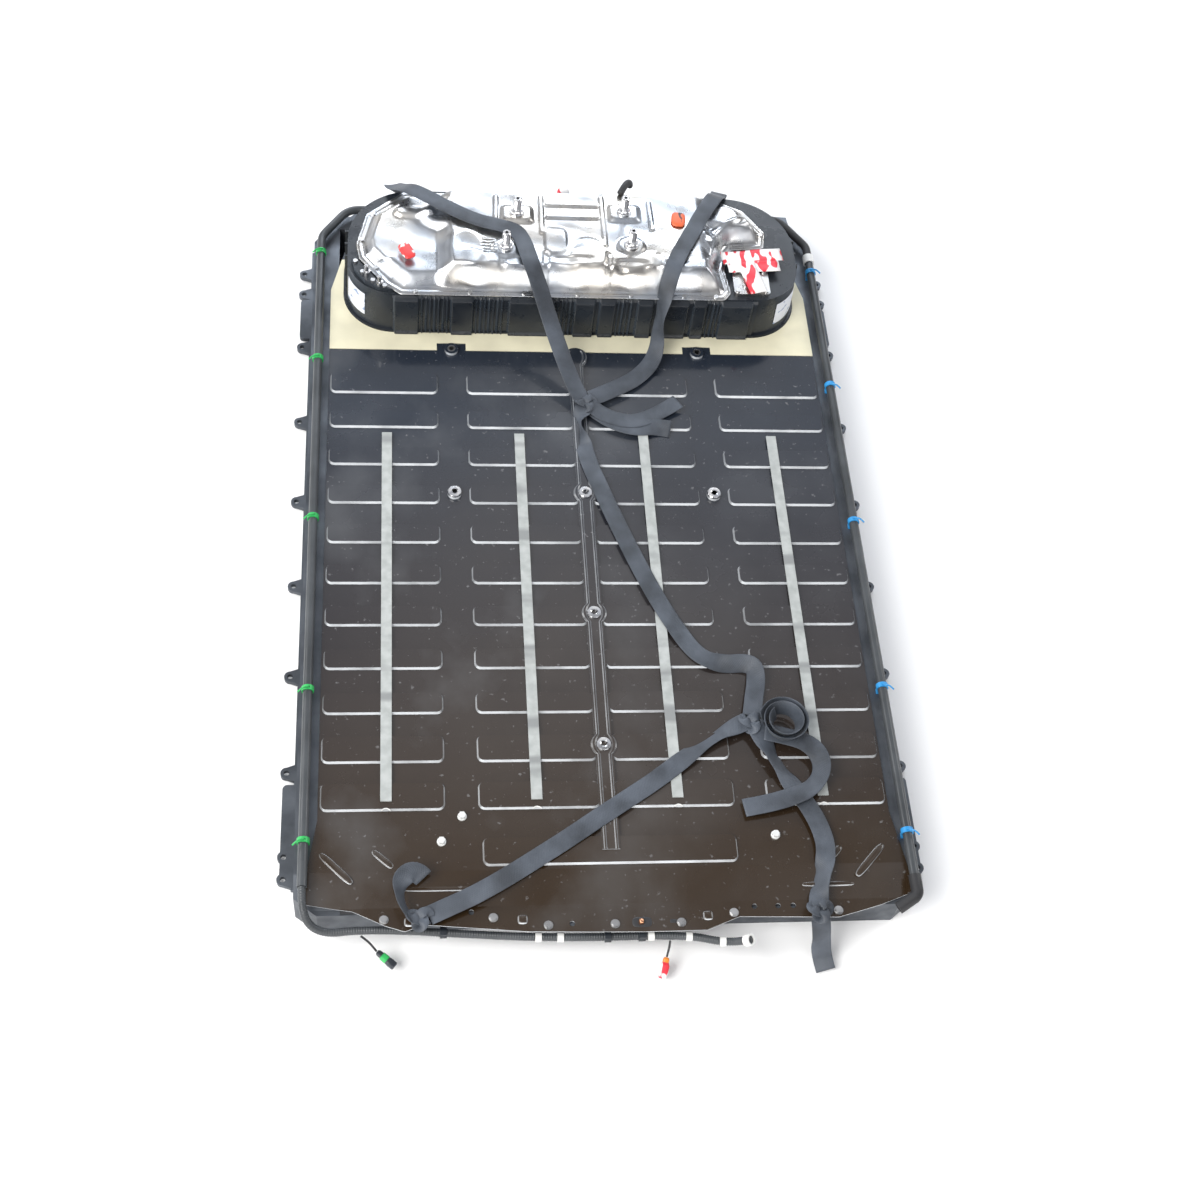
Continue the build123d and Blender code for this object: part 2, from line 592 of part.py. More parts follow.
with BuildPart() as vent_bodies:
    for side in VENT_SIDES.values():
        with BuildSketch(vent_axis(side)):
            Circle(VENT_RADIUS)
            Circle(VENT_RADIUS - VENT_PLATE, mode=Mode.SUBTRACT)
        extrude(amount=VENT_DEPTH)
        with BuildSketch(vent_axis(side, VENT_DEPTH)):
            Circle(VENT_RADIUS + 4)
            Circle(VENT_RADIUS - VENT_PLATE, mode=Mode.SUBTRACT)
        extrude(amount=VENT_PLATE)
        with BuildSketch(vent_axis(side)):
            Circle(VENT_RADIUS - 1)
            Circle(VENT_STEM + FIT_GAP, mode=Mode.SUBTRACT)
        extrude(amount=VENT_PLATE)
save(vent_bodies, "vent_bodies")


def build_poppet(node, side):
    """A disc on a stem that lifts to the rear when the pack's pressure rises."""
    with BuildPart() as poppet:
        with BuildSketch(vent_axis(side, VENT_PLATE + 2)):
            Circle(VENT_RADIUS - VENT_PLATE - 2 * FIT_GAP)
        extrude(amount=6)
        with BuildSketch(vent_axis(side, -POPPET_TRAVEL - 2)):
            Circle(VENT_STEM)
        extrude(amount=POPPET_TRAVEL + VENT_PLATE + 6)
    save(poppet, node)


for vent_name, vent_side in VENT_SIDES.items():
    build_poppet(f"vent_poppet_{vent_name}", vent_side)

# ---- Foam strips and cream panel -----------------------------------------------------------------
STRIP_WIDTH = 25.0
STRIP_THICKNESS = 3.0
STRIP_REAR = PENTHOUSE_FRONT - 349.0
STRIP_FRONT = MODULE_FRONT + 195.0

with BuildPart() as foam_strips:
    for strip_x in (-OUTER_X, -INNER_X, INNER_X, OUTER_X):
        box_between(
            (strip_x - STRIP_WIDTH / 2, STRIP_FRONT, LID_TOP + BEAD_HEIGHT),
            (strip_x + STRIP_WIDTH / 2, STRIP_REAR, LID_TOP + BEAD_HEIGHT + STRIP_THICKNESS),
        )
save(foam_strips, "foam_strips")

with BuildSketch() as base_plan:
    with Locations((0, (PENTHOUSE_FRONT + PENTHOUSE_REAR) / 2)):
        Rectangle(2 * BASE_HALF_WIDTH, PENTHOUSE_DEPTH)
    rear_vertices = base_plan.vertices().filter_by_position(Axis.Y, PENTHOUSE_REAR - 1, PENTHOUSE_REAR + 1)
    fillet(rear_vertices, BASE_REAR_CORNER)
    front_vertices = base_plan.vertices().filter_by_position(Axis.Y, PENTHOUSE_FRONT - 1, PENTHOUSE_FRONT + 1)
    fillet(front_vertices.filter_by(lambda vertex: abs(vertex.X) > BASE_HALF_WIDTH - 1), BASE_CORNER)


def base_face(inset=0.0):
    """The housing's plan outline, rounder at the rear, drawn in by an inset, in the open sketch."""
    add(base_plan.sketch)
    if inset:
        offset(amount=-inset, mode=Mode.REPLACE)


PANEL_FRONT = PENTHOUSE_FRONT - PANEL_MARGIN
PANEL_REAR = REAR_INNER - 120.0
PANEL_GAP = 2.0
with BuildSketch() as panel_opening:
    base_face(-BASE_RIB_PROUD - PANEL_GAP)
with BuildPart() as surround_panel:
    with BuildSketch(Plane.XY.offset(LID_TOP)):
        add(lid_plan.sketch)
        with Locations((0, PANEL_FRONT - 1500)):
            Rectangle(3 * LID_HALF_WIDTH, 3000, mode=Mode.SUBTRACT)
        add(panel_opening.sketch, mode=Mode.SUBTRACT)
        with Locations((0, PANEL_REAR + 500)):
            Rectangle(3 * LID_HALF_WIDTH, 1000, mode=Mode.SUBTRACT)
        with Locations((0, SLEEVE_REAR_Y)):
            Circle(CENTRE_BOSS_RADIUS + 2, mode=Mode.SUBTRACT)
        with Locations(*[(side * CHANNEL_X, PANEL_FRONT) for side in (-1, 1)]):
            Rectangle(76, 2 * PANEL_NOTCH_DEPTH, mode=Mode.SUBTRACT)
    extrude(amount=PANEL_THICKNESS)
save(surround_panel, "surround_panel")

# ---- Electronics housing: base moulding, seal and formed cover -----------------------------------
COVER_OUTLINE = [
    (-458, PENTHOUSE_FRONT - 2),
    (388, PENTHOUSE_FRONT - 2),
    (408, PENTHOUSE_FRONT + 25),
    (397, PENTHOUSE_FRONT + 105),
    (416, PENTHOUSE_FRONT + 177),
    (512, PENTHOUSE_FRONT + 187),
    (522, PENTHOUSE_FRONT + 245),
    (470, PENTHOUSE_FRONT + 325),
    (395, PENTHOUSE_FRONT + 365),
    (-450, PENTHOUSE_FRONT + 365),
    (-548, PENTHOUSE_FRONT + 280),
    (-574, PENTHOUSE_FRONT + 170),
    (-566, PENTHOUSE_FRONT + 122),
    (-500, PENTHOUSE_FRONT + 30),
]
COVER_FILLET = 15.0


with BuildSketch() as cover_plan:
    Polygon(*COVER_OUTLINE, align=None)
    fillet(cover_plan.vertices(), COVER_FILLET)


def cover_face(inset=0.0):
    """The formed cover's flange outline, drawn in by an inset, in the open sketch."""
    add(cover_plan.sketch)
    if inset:
        offset(amount=-inset, mode=Mode.REPLACE)


BASE_RIB_COUNT = 2 * int((BASE_HALF_WIDTH - BASE_CORNER) / BASE_RIB_PITCH) + 1
SIDE_RIB_COUNT = 2 * int((PENTHOUSE_DEPTH / 2 - BASE_CORNER) / BASE_RIB_PITCH) + 1

with BuildPart() as housing_base:
    with BuildSketch(Plane.XY.offset(LID_TOP)):
        base_face()
    extrude(amount=BASE_HEIGHT, taper=BASE_DRAFT)
    with BuildSketch(Plane.XY.offset(LID_TOP)):
        base_face(-BASE_RIB_PROUD)
    extrude(amount=BASE_FOOT_HEIGHT)
    rib_z = LID_TOP + BASE_RIB_HEIGHT / 2
    with Locations((0, (PENTHOUSE_FRONT + PENTHOUSE_REAR) / 2, rib_z)):
        with GridLocations(BASE_RIB_PITCH, 0, BASE_RIB_COUNT, 1):
            Box(BASE_RIB_WIDTH, PENTHOUSE_DEPTH + BASE_RIB_PROUD, BASE_RIB_HEIGHT)
        with GridLocations(0, BASE_RIB_PITCH, 1, SIDE_RIB_COUNT):
            Box(2 * BASE_HALF_WIDTH + BASE_RIB_PROUD, BASE_RIB_WIDTH, BASE_RIB_HEIGHT)
    with BuildSketch(Plane.XY.offset(LID_TOP)):
        base_face(BASE_WALL)
    extrude(amount=BASE_HEIGHT - BASE_DECK, taper=BASE_DRAFT, mode=Mode.SUBTRACT)
    with BuildSketch(Plane.XY.offset(BASE_TOP - 2 * BASE_DECK)):
        cover_face(LAND_WIDTH)
    extrude(amount=3 * BASE_DECK, mode=Mode.SUBTRACT)
save(housing_base, "housing_base")

SEAL_WIDTH = 16.0
with BuildPart() as seals:
    for side in (-1, 1):
        seal_x = side * (RAIL_INNER - LEDGE_WIDTH + SEAL_WIDTH / 2)
        box_between(
            (seal_x - SEAL_WIDTH / 2, RAIL_FRONT, RAIL_TOP),
            (seal_x + SEAL_WIDTH / 2, REAR_INNER - 235, LID_BOTTOM),
        )
    box_between((-540, REAR_INNER + 2, RAIL_TOP), (540, REAR_INNER + 2 + SEAL_WIDTH, LID_BOTTOM))
    box_between((-590, FRONT_WALL - 52, FRONT_SEAT), (590, FRONT_WALL - 43, FRONT_SEAT + SEAL_THICKNESS))
    with BuildSketch(Plane.XY.offset(BASE_TOP)):
        cover_face(LAND_WIDTH - 12)
    extrude(amount=HOUSING_SEAL)
    with BuildSketch(Plane.XY.offset(BASE_TOP)):
        cover_face(LAND_WIDTH - 2)
    extrude(amount=HOUSING_SEAL, mode=Mode.SUBTRACT)
save(seals, "seals")

COVER_BOLTS = [(x, PENTHOUSE_FRONT + 7) for x in (-420, -280, -140, 0, 140, 280, 365)]
COVER_BOLTS += [(x, PENTHOUSE_FRONT + 356) for x in (-430, -280, -140, 0, 140, 280, 385)]
COVER_BOLTS += [(-560, PENTHOUSE_FRONT + 185), (-522, PENTHOUSE_FRONT + 86), (-530, PENTHOUSE_FRONT + 280)]
COVER_BOLTS += [(508, PENTHOUSE_FRONT + 235), (420, PENTHOUSE_FRONT + 190)]

with BuildPart() as housing_cover:
    with BuildSketch(Plane.XY.offset(COVER_FLOOR)):
        cover_face()
    extrude(amount=COVER_THICKNESS)
    with BuildSketch(Plane.XY.offset(COVER_FLOOR)):
        cover_face(LAND_WIDTH)
    extrude(amount=COVER_TOP - COVER_FLOOR, taper=COVER_DRAFT)
    with BuildSketch(Plane.XY.offset(COVER_FLOOR)):
        cover_face(LAND_WIDTH + COVER_THICKNESS)
    extrude(amount=COVER_TOP - COVER_FLOOR - COVER_THICKNESS, taper=COVER_DRAFT, mode=Mode.SUBTRACT)
    with Locations(*[(x, y, COVER_FLOOR) for x, y in COVER_BOLTS]):
        Cylinder(M6_RADIUS + HOLE_CLEARANCE, 20, mode=Mode.SUBTRACT)
save(housing_cover, "housing_cover")

# ---- On the housing: posts, service cover, connector platform, header and lever ------------------
POST_RADIUS = 11.0
POST_FOOT_RADIUS = 19.0
POST_FOOT_HEIGHT = 4.0
POST_HEIGHT = 50.0
POST_BORE = 4.2
POST_BORE_DEPTH = 25.0
POST_PLACES = [(x, PENTHOUSE_FRONT + y) for x, y in ((-154, 235), (131, 247), (-187, 112), (143, 128))]

with BuildPart() as lifting_posts:
    with BuildSketch(Plane.XY.offset(COVER_TOP)):
        with Locations(*POST_PLACES):
            Circle(POST_FOOT_RADIUS)
    extrude(amount=POST_FOOT_HEIGHT)
    with BuildSketch(Plane.XY.offset(COVER_TOP + POST_FOOT_HEIGHT)):
        with Locations(*POST_PLACES):
            Circle(POST_RADIUS)
    extrude(amount=POST_HEIGHT - POST_FOOT_HEIGHT)
    with Locations(*[(x, y, COVER_TOP + POST_HEIGHT) for x, y in POST_PLACES]):
        Cylinder(POST_BORE, 2 * POST_BORE_DEPTH, mode=Mode.SUBTRACT)
save(lifting_posts, "lifting_posts")

SERVICE_X = 464.0
SERVICE_Y = PENTHOUSE_FRONT + 62.0
SERVICE_SIZE = (96.0, 90.0)
SERVICE_THICKNESS = 10.0
SERVICE_BOLTS = [(SERVICE_X + x, SERVICE_Y + y) for x in (-38, 38) for y in (-35, 35)]
PLATFORM_THICKNESS = 12.0
PLATFORM_BOLTS = [(x, PENTHOUSE_FRONT + y) for x, y in ((-499, 18), (-529, 36), (-556, 65), (-574, 102))]

with BuildPart() as service_cover:
    with BuildSketch(Plane.XY.offset(BASE_TOP)):
        with Locations((SERVICE_X, SERVICE_Y)):
            RectangleRounded(*SERVICE_SIZE, 12)
        with Locations(*SERVICE_BOLTS):
            Circle(M6_RADIUS + HOLE_CLEARANCE, mode=Mode.SUBTRACT)
    extrude(amount=SERVICE_THICKNESS)
    with BuildSketch(Plane.XY.offset(BASE_TOP + SERVICE_THICKNESS)):
        with Locations((SERVICE_X, SERVICE_Y)):
            RectangleRounded(48, 48, 8)
    extrude(amount=4)
save(service_cover, "service_cover")

with BuildPart() as connector_platform:
    with BuildSketch(Plane.XY.offset(BASE_TOP)):
        polygon([
            (-478, PENTHOUSE_FRONT + 9),
            (-512, PENTHOUSE_FRONT + 14),
            (-550, PENTHOUSE_FRONT + 37),
            (-577, PENTHOUSE_FRONT + 77),
            (-585, PENTHOUSE_FRONT + 115),
            (-576, PENTHOUSE_FRONT + 121),
            (-508, PENTHOUSE_FRONT + 25),
        ])
        with Locations(*PLATFORM_BOLTS):
            Circle(M6_RADIUS + HOLE_CLEARANCE, mode=Mode.SUBTRACT)
    extrude(amount=PLATFORM_THICKNESS)
save(connector_platform, "connector_platform")

COVER_SEAT = COVER_FLOOR + COVER_THICKNESS
COVER_GRIP = COVER_THICKNESS + HOUSING_SEAL
HOUSING_BOLTS = [(x, y, COVER_SEAT, COVER_GRIP) for x, y in COVER_BOLTS]
HOUSING_BOLTS += [(x, y, BASE_TOP + SERVICE_THICKNESS, SERVICE_THICKNESS) for x, y in SERVICE_BOLTS]
HOUSING_BOLTS += [(x, y, BASE_TOP + PLATFORM_THICKNESS, PLATFORM_THICKNESS) for x, y in PLATFORM_BOLTS]

with BuildPart() as housing_bolts:
    for x, y, seat, grip in HOUSING_BOLTS:
        with Locations((x, y, seat + M6_HEAD_HEIGHT / 2)):
            Cylinder(M6_HEAD_RADIUS, M6_HEAD_HEIGHT)
        with Locations((x, y, seat - (grip - FIT_GAP) / 2)):
            Cylinder(M6_RADIUS, grip - FIT_GAP)
save(housing_bolts, "housing_bolts")

HEADER_FRONT = PENTHOUSE_REAR + BASE_RIB_PROUD / 2
HEADER_HALF_WIDTH = 60.0
HEADER_DEPTH = 45.0
HEADER_Z = (LID_TOP + 22.0, LID_TOP + 78.0)
HEADER_WALL = 6.0
HEADER_BACK = 12.0
HEADER_TAB = (12.0, 22.0, 24.0)
HEADER_TAB_X = 28.0
HEADER_PIN_RADIUS = 4.0
HEADER_PIN_LENGTH = 6.0
LEVER_AXIS_Y = HEADER_FRONT + 32.0
LEVER_AXIS_Z = LID_TOP + 50.0
LEVER_ARM = 40.0
LEVER_THICKNESS = 4.0

with BuildPart() as drive_header:
    header_rear = HEADER_FRONT + HEADER_DEPTH
    header_low = (-HEADER_HALF_WIDTH, HEADER_FRONT, HEADER_Z[0])
    box_between(header_low, (HEADER_HALF_WIDTH, header_rear, HEADER_Z[1]))
    box_between(
        (-HEADER_HALF_WIDTH + HEADER_WALL, HEADER_FRONT + HEADER_BACK, HEADER_Z[0] + HEADER_WALL),
        (HEADER_HALF_WIDTH - HEADER_WALL, header_rear + 1, HEADER_Z[1] - HEADER_WALL),
        mode=Mode.SUBTRACT,
    )
    for side in (-1, 1):
        with BuildSketch(Plane.YZ.offset(side * HEADER_HALF_WIDTH)):
            with Locations((LEVER_AXIS_Y, LEVER_AXIS_Z)):
                Circle(HEADER_PIN_RADIUS)
        extrude(amount=side * HEADER_PIN_LENGTH)
    for side in (-1, 1):
        with Locations((side * HEADER_TAB_X, HEADER_FRONT + HEADER_TAB[1], (HEADER_Z[0] + HEADER_Z[1]) / 2)):
            Box(*HEADER_TAB)
save(drive_header, "drive_header")

with BuildPart() as header_lever:
    for side in (-1, 1):
        with BuildSketch(Plane.YZ.offset(side * (HEADER_HALF_WIDTH + 1))):
            with Locations((LEVER_AXIS_Y, LEVER_AXIS_Z)):
                Circle(HEADER_PIN_RADIUS + 5)
            with Locations((LEVER_AXIS_Y, LEVER_AXIS_Z + LEVER_ARM / 2)):
                Rectangle(10, LEVER_ARM)
            with Locations((LEVER_AXIS_Y, LEVER_AXIS_Z)):
                Circle(HEADER_PIN_RADIUS + FIT_GAP, mode=Mode.SUBTRACT)
        extrude(amount=side * LEVER_THICKNESS)
    lever_reach = HEADER_HALF_WIDTH + 1 + LEVER_THICKNESS
    box_between(
        (-lever_reach, LEVER_AXIS_Y - 5, LEVER_AXIS_Z + LEVER_ARM - 6),
        (lever_reach, LEVER_AXIS_Y + 5, LEVER_AXIS_Z + LEVER_ARM),
    )
save(header_lever, "header_lever")

# ---- Inside the housing --------------------------------------------------------------------------
CARRIER_THICKNESS = 3.0
CARRIER_TOP = LID_TOP + CARRIER_THICKNESS
CONTACTOR_SIZE = (56.0, 56.0, 78.0)
CONTACTOR_Y = PENTHOUSE_FRONT + 110.0
CONTACTOR_TOP = CARRIER_TOP + CONTACTOR_SIZE[2]
CONTACTORS = {"positive": INNER_X + TERMINAL_OFFSET, "negative": INNER_X - TERMINAL_OFFSET + 12}
PLUNGER_RADIUS = 3.0
PLUNGER_LENGTH = 52.0
PLUNGER_TRAVEL = 2.0
SLOT_Y = PENTHOUSE_FRONT + 220.0
BUSBAR_WIDTH = 24.0
BUSBAR_THICKNESS = 3.0

with BuildPart() as electronics_carrier:
    with BuildSketch(Plane.XY.offset(LID_TOP)):
        base_face(BASE_WALL + 6)
        with Locations((INNER_X, SLOT_Y)):
            Rectangle(2 * TERMINAL_OFFSET + 60, 40, mode=Mode.SUBTRACT)
    extrude(amount=CARRIER_THICKNESS)
save(electronics_carrier, "electronics_carrier")

with BuildPart() as power_unit:
    unit_low = (-470, PENTHOUSE_FRONT + 55, CARRIER_TOP)
    unit_high = (20, PENTHOUSE_FRONT + 320, CARRIER_TOP + 100)
    box_between(unit_low, unit_high)
    with Locations(((unit_low[0] + unit_high[0]) / 2, (unit_low[1] + unit_high[1]) / 2, unit_high[2] + 6)):
        with GridLocations(34, 0, 14, 1):
            Box(4, 240, 12)
save(power_unit, "power_unit")

with BuildPart() as contactor_bodies:
    for x in CONTACTORS.values():
        with Locations((x, CONTACTOR_Y, CARRIER_TOP + CONTACTOR_SIZE[2] / 2)):
            Box(*CONTACTOR_SIZE)
        with Locations((x, CONTACTOR_Y, CONTACTOR_TOP)):
            Cylinder(PLUNGER_RADIUS + FIT_GAP, 2 * (PLUNGER_LENGTH + PLUNGER_TRAVEL + 2), mode=Mode.SUBTRACT)
save(contactor_bodies, "contactor_bodies")


def build_plunger(node, x):
    """A contactor's plunger with the bridge disc that it carries above the body."""
    with BuildPart() as plunger:
        with BuildSketch(Plane.XY.offset(CONTACTOR_TOP - PLUNGER_LENGTH)):
            with Locations((x, CONTACTOR_Y)):
                Circle(PLUNGER_RADIUS)
        extrude(amount=PLUNGER_LENGTH + PLUNGER_TRAVEL + 1)
        with BuildSketch(Plane.XY.offset(CONTACTOR_TOP + PLUNGER_TRAVEL + 0.5)):
            with Locations((x, CONTACTOR_Y)):
                Circle(9)
        extrude(amount=4)
    save(plunger, node)


for pole, pole_x in CONTACTORS.items():
    build_plunger(f"contactor_plunger_{pole}", pole_x)

with BuildPart() as busbars:
    for x in CONTACTORS.values():
        low = LINK_FLOOR + LINK_THICKNESS
        with BuildSketch(Plane.YZ.offset(x - BUSBAR_WIDTH / 2)):
            polygon([
                (CONTACTOR_Y + 14, CONTACTOR_TOP),
                (SLOT_Y - BUSBAR_THICKNESS, CONTACTOR_TOP),
                (SLOT_Y - BUSBAR_THICKNESS, low),
                (SLOT_Y + 40, low),
                (SLOT_Y + 40, low + BUSBAR_THICKNESS),
                (SLOT_Y, low + BUSBAR_THICKNESS),
                (SLOT_Y, CONTACTOR_TOP + BUSBAR_THICKNESS),
                (CONTACTOR_Y + 14, CONTACTOR_TOP + BUSBAR_THICKNESS),
            ])
        extrude(amount=BUSBAR_WIDTH)
save(busbars, "busbars")

with BuildPart() as controller_board:
    board_low = (330, PENTHOUSE_FRONT + 90, CARRIER_TOP + 10)
    board_high = (500, PENTHOUSE_FRONT + 250, CARRIER_TOP + 12)
    box_between(board_low, board_high)
    board_middle = ((board_low[0] + board_high[0]) / 2, (board_low[1] + board_high[1]) / 2)
    with Locations((*board_middle, CARRIER_TOP + 5)):
        with GridLocations(150, 140, 2, 2):
            Cylinder(4, 10)
    with Locations((*board_middle, CARRIER_TOP + 18)):
        with GridLocations(60, 50, 2, 2):
            Box(34, 30, 12)
save(controller_board, "controller_board")

# ---- Coolant pipes, clips, fittings and the line along the front ---------------------------------
REAR_TURN_Y = REAR_INNER - 51.0
REAR_RUN_Y = PENTHOUSE_REAR + 38.0
FITTING_X = 486.0
PIPE_BEND = 60.0
JOINT_GAP = 0.2


def bend_radii(points):
    """For each inner point, 0.45 of its shorter run over the tangent of half its turn."""
    radii = []
    for before, here, after in zip(points, points[1:], points[2:]):
        run_in = Vector(*here) - Vector(*before)
        run_out = Vector(*after) - Vector(*here)
        half_turn = math.radians(run_in.get_angle(run_out)) / 2
        radii.append(0.45 * min(run_in.length, run_out.length) / math.tan(half_turn))
    return radii


def build_tube(node, points, radii, outer, inner=0.0):
    """A round tube or rod along straight runs joined by tangent arcs."""
    with BuildPart() as tube:
        with BuildLine() as path:
            FilletPolyline(*points, radius=radii)
        with BuildSketch(Plane(origin=path.wire() @ 0, z_dir=path.wire() % 0)):
            Circle(outer)
            if inner:
                Circle(inner, mode=Mode.SUBTRACT)
        sweep(path=path.wire())
    save(tube, node)
    length = path.wire().length
    section = math.pi * (outer**2 - inner**2)
    print(node, "length", round(length, 1), "volume share", round(tube.part.volume / section / length, 4))


REAR_TURN = [(PIPE_X, REAR_TURN_Y, PIPE_Z), (600, REAR_RUN_Y, PIPE_Z), (FITTING_X, REAR_RUN_Y, PIPE_Z)]
LEFT_REAR_TURN = [(-x, y, z) for x, y, z in REAR_TURN]
build_tube(
    "coolant_pipe_left",
    [(-PIPE_X, PIPE_FRONT, PIPE_Z)] + LEFT_REAR_TURN,
    PIPE_BEND,
    PIPE_RADIUS,
    PIPE_RADIUS - PIPE_WALL,
)
build_tube(
    "rear_hose_right",
    [(PIPE_X, PIPE_REAR, PIPE_Z)] + REAR_TURN,
    PIPE_BEND - 10,
    PIPE_RADIUS,
    PIPE_RADIUS - PIPE_WALL,
)

with BuildPart() as coolant_pipe_right:
    with BuildSketch(Plane.XZ.offset(-PIPE_REAR)):
        with Locations((PIPE_X, PIPE_Z)):
            Circle(PIPE_RADIUS)
            Circle(PIPE_RADIUS - PIPE_WALL, mode=Mode.SUBTRACT)
    extrude(amount=PIPE_REAR - PIPE_FRONT)
save(coolant_pipe_right, "coolant_pipe_right")

ELBOW_RADIUS = 14.0
build_tube(
    "inlet_elbow",
    [
        (PIPE_X, PIPE_FRONT, PIPE_Z),
        (PIPE_X, PIPE_FRONT - 46, PIPE_Z),
        (PIPE_X - 44, PIPE_FRONT - 70, PIPE_Z - 16),
    ],
    20.0,
    ELBOW_RADIUS,
    ELBOW_RADIUS - 3.5,
)

FITTING_WIDTH = 46.0

with BuildPart() as rear_fittings:
    for side in (-1, 1):
        fitting_x = sorted((side * FITTING_X, side * (FITTING_X - FITTING_WIDTH)))
        box_between(
            (fitting_x[0], PENTHOUSE_REAR + BASE_RIB_PROUD / 2, PIPE_Z - 10),
            (fitting_x[1], REAR_RUN_Y + 18, PIPE_Z + 14),
        )
save(rear_fittings, "rear_fittings")


def build_clips(node, side, rear, shares):
    """Saddle clips that hold a pipe above its rail."""
    with BuildPart() as clips:
        for share in shares:
            clip_y = rear + share * (CLIP_FRONT - rear)
            with BuildSketch(Plane.XZ.offset(-clip_y - CLIP_WIDTH / 2)):
                with Locations((side * PIPE_X, (RAIL_TOP + PIPE_Z) / 2)):
                    Rectangle(1.7 * PIPE_RADIUS, PIPE_Z - RAIL_TOP)
                with Locations((side * PIPE_X, PIPE_Z)):
                    Circle(PIPE_RADIUS + CLIP_GAP + CLIP_WALL)
                    Circle(PIPE_RADIUS + CLIP_GAP, mode=Mode.SUBTRACT)
            extrude(amount=CLIP_WIDTH)
    save(clips, node)


build_clips("pipe_clips_green", -1, CLIP_REAR_LEFT, LEFT_CLIP_SHARES)
build_clips("pipe_clips_blue", 1, CLIP_REAR_RIGHT, RIGHT_CLIP_SHARES)

# The line leaves the left pipe, turns down round the front corner and runs under the lid's flange.
LINE_Z = FRONT_FLANGE_TOP - 26.0
LINE_ROUTE = [
    (-PIPE_X, PIPE_FRONT, PIPE_Z),
    (-PIPE_X, MODULE_FRONT - 52, PIPE_Z - 4),
    (-656, MODULE_FRONT - 82, LINE_Z + 26),
    (-618, MODULE_FRONT - 92, LINE_Z + 4),
    (-560, MODULE_FRONT - 84, LINE_Z),
    (-462, MODULE_FRONT - 86, LINE_Z),
    (-334, MODULE_FRONT - 97, LINE_Z),
    (-205, MODULE_FRONT - 107, LINE_Z),
    (-60, MODULE_FRONT - 112, LINE_Z),
    (90, MODULE_FRONT - 111, LINE_Z),
    (175, MODULE_FRONT - 115, LINE_Z),
    (228, MODULE_FRONT - 128, LINE_Z),
    (268, MODULE_FRONT - 130, LINE_Z),
    (292, MODULE_FRONT - 138, LINE_Z + 30),
]
build_tube("front_line", LINE_ROUTE, bend_radii(LINE_ROUTE), LINE_RADIUS, LINE_RADIUS - LINE_WALL)


def run_plane(points, index, share, back=0.0):
    """The plane across one run of a route, a share of the way along it and a length back."""
    start = Vector(*points[index])
    run = Vector(*points[index + 1]) - start
    return Plane(origin=start + run * share - run.normalized() * back, z_dir=run)


BAND_LENGTH = 14.0
BAND_THICKNESS = 1.2
BAND_GAP = 0.8
BAND_PLACES = [(7, 0.27), (7, 0.6), (8, 0.93), (9, 0.86), (11, 0.2)]
with BuildPart() as line_bands:
    for index, share in BAND_PLACES:
        with BuildSketch(run_plane(LINE_ROUTE, index, share, BAND_LENGTH / 2)):
            Circle(LINE_RADIUS + BAND_GAP + BAND_THICKNESS)
            Circle(LINE_RADIUS + BAND_GAP, mode=Mode.SUBTRACT)
        extrude(amount=BAND_LENGTH)
save(line_bands, "line_bands")

COLLAR_LENGTH = 26.0
PORT_COLLAR_LENGTH = 13.0
with BuildPart() as hose_collars:
    with BuildSketch(Plane.XZ.offset(-PIPE_REAR - COLLAR_LENGTH / 2)):
        with Locations((PIPE_X, PIPE_Z)):
            Circle(PIPE_RADIUS + 4)
            Circle(PIPE_RADIUS + JOINT_GAP, mode=Mode.SUBTRACT)
    extrude(amount=COLLAR_LENGTH)
    with BuildSketch(run_plane(LINE_ROUTE, 12, 1.0, PORT_COLLAR_LENGTH)):
        Circle(LINE_RADIUS + 4)
        Circle(LINE_RADIUS + JOINT_GAP, mode=Mode.SUBTRACT)
    extrude(amount=PORT_COLLAR_LENGTH + 3)
save(hose_collars, "hose_collars")

BRACKET_PLACES = [(5, 0.72), (8, 0.3), (8, 0.8)]
BRACKET_WIDTH = 14.0
with BuildPart() as line_brackets:
    for index, share in BRACKET_PLACES:
        start, end = Vector(*LINE_ROUTE[index]), Vector(*LINE_ROUTE[index + 1])
        middle = start + (end - start) * share
        box_between(
            (middle.X - BRACKET_WIDTH / 2, middle.Y, LINE_Z - 4),
            (middle.X + BRACKET_WIDTH / 2, FRONT_FACE, LINE_Z + 4),
        )
        with Locations(Location((middle.X, middle.Y, middle.Z), (0, 90, 0))):
            Cylinder(LINE_RADIUS + 3, BRACKET_WIDTH)
        with BuildSketch(run_plane(LINE_ROUTE, index, share, 2 * BRACKET_WIDTH)):
            Circle(LINE_RADIUS + FIT_GAP)
        extrude(amount=4 * BRACKET_WIDTH, mode=Mode.SUBTRACT)
save(line_brackets, "line_brackets")

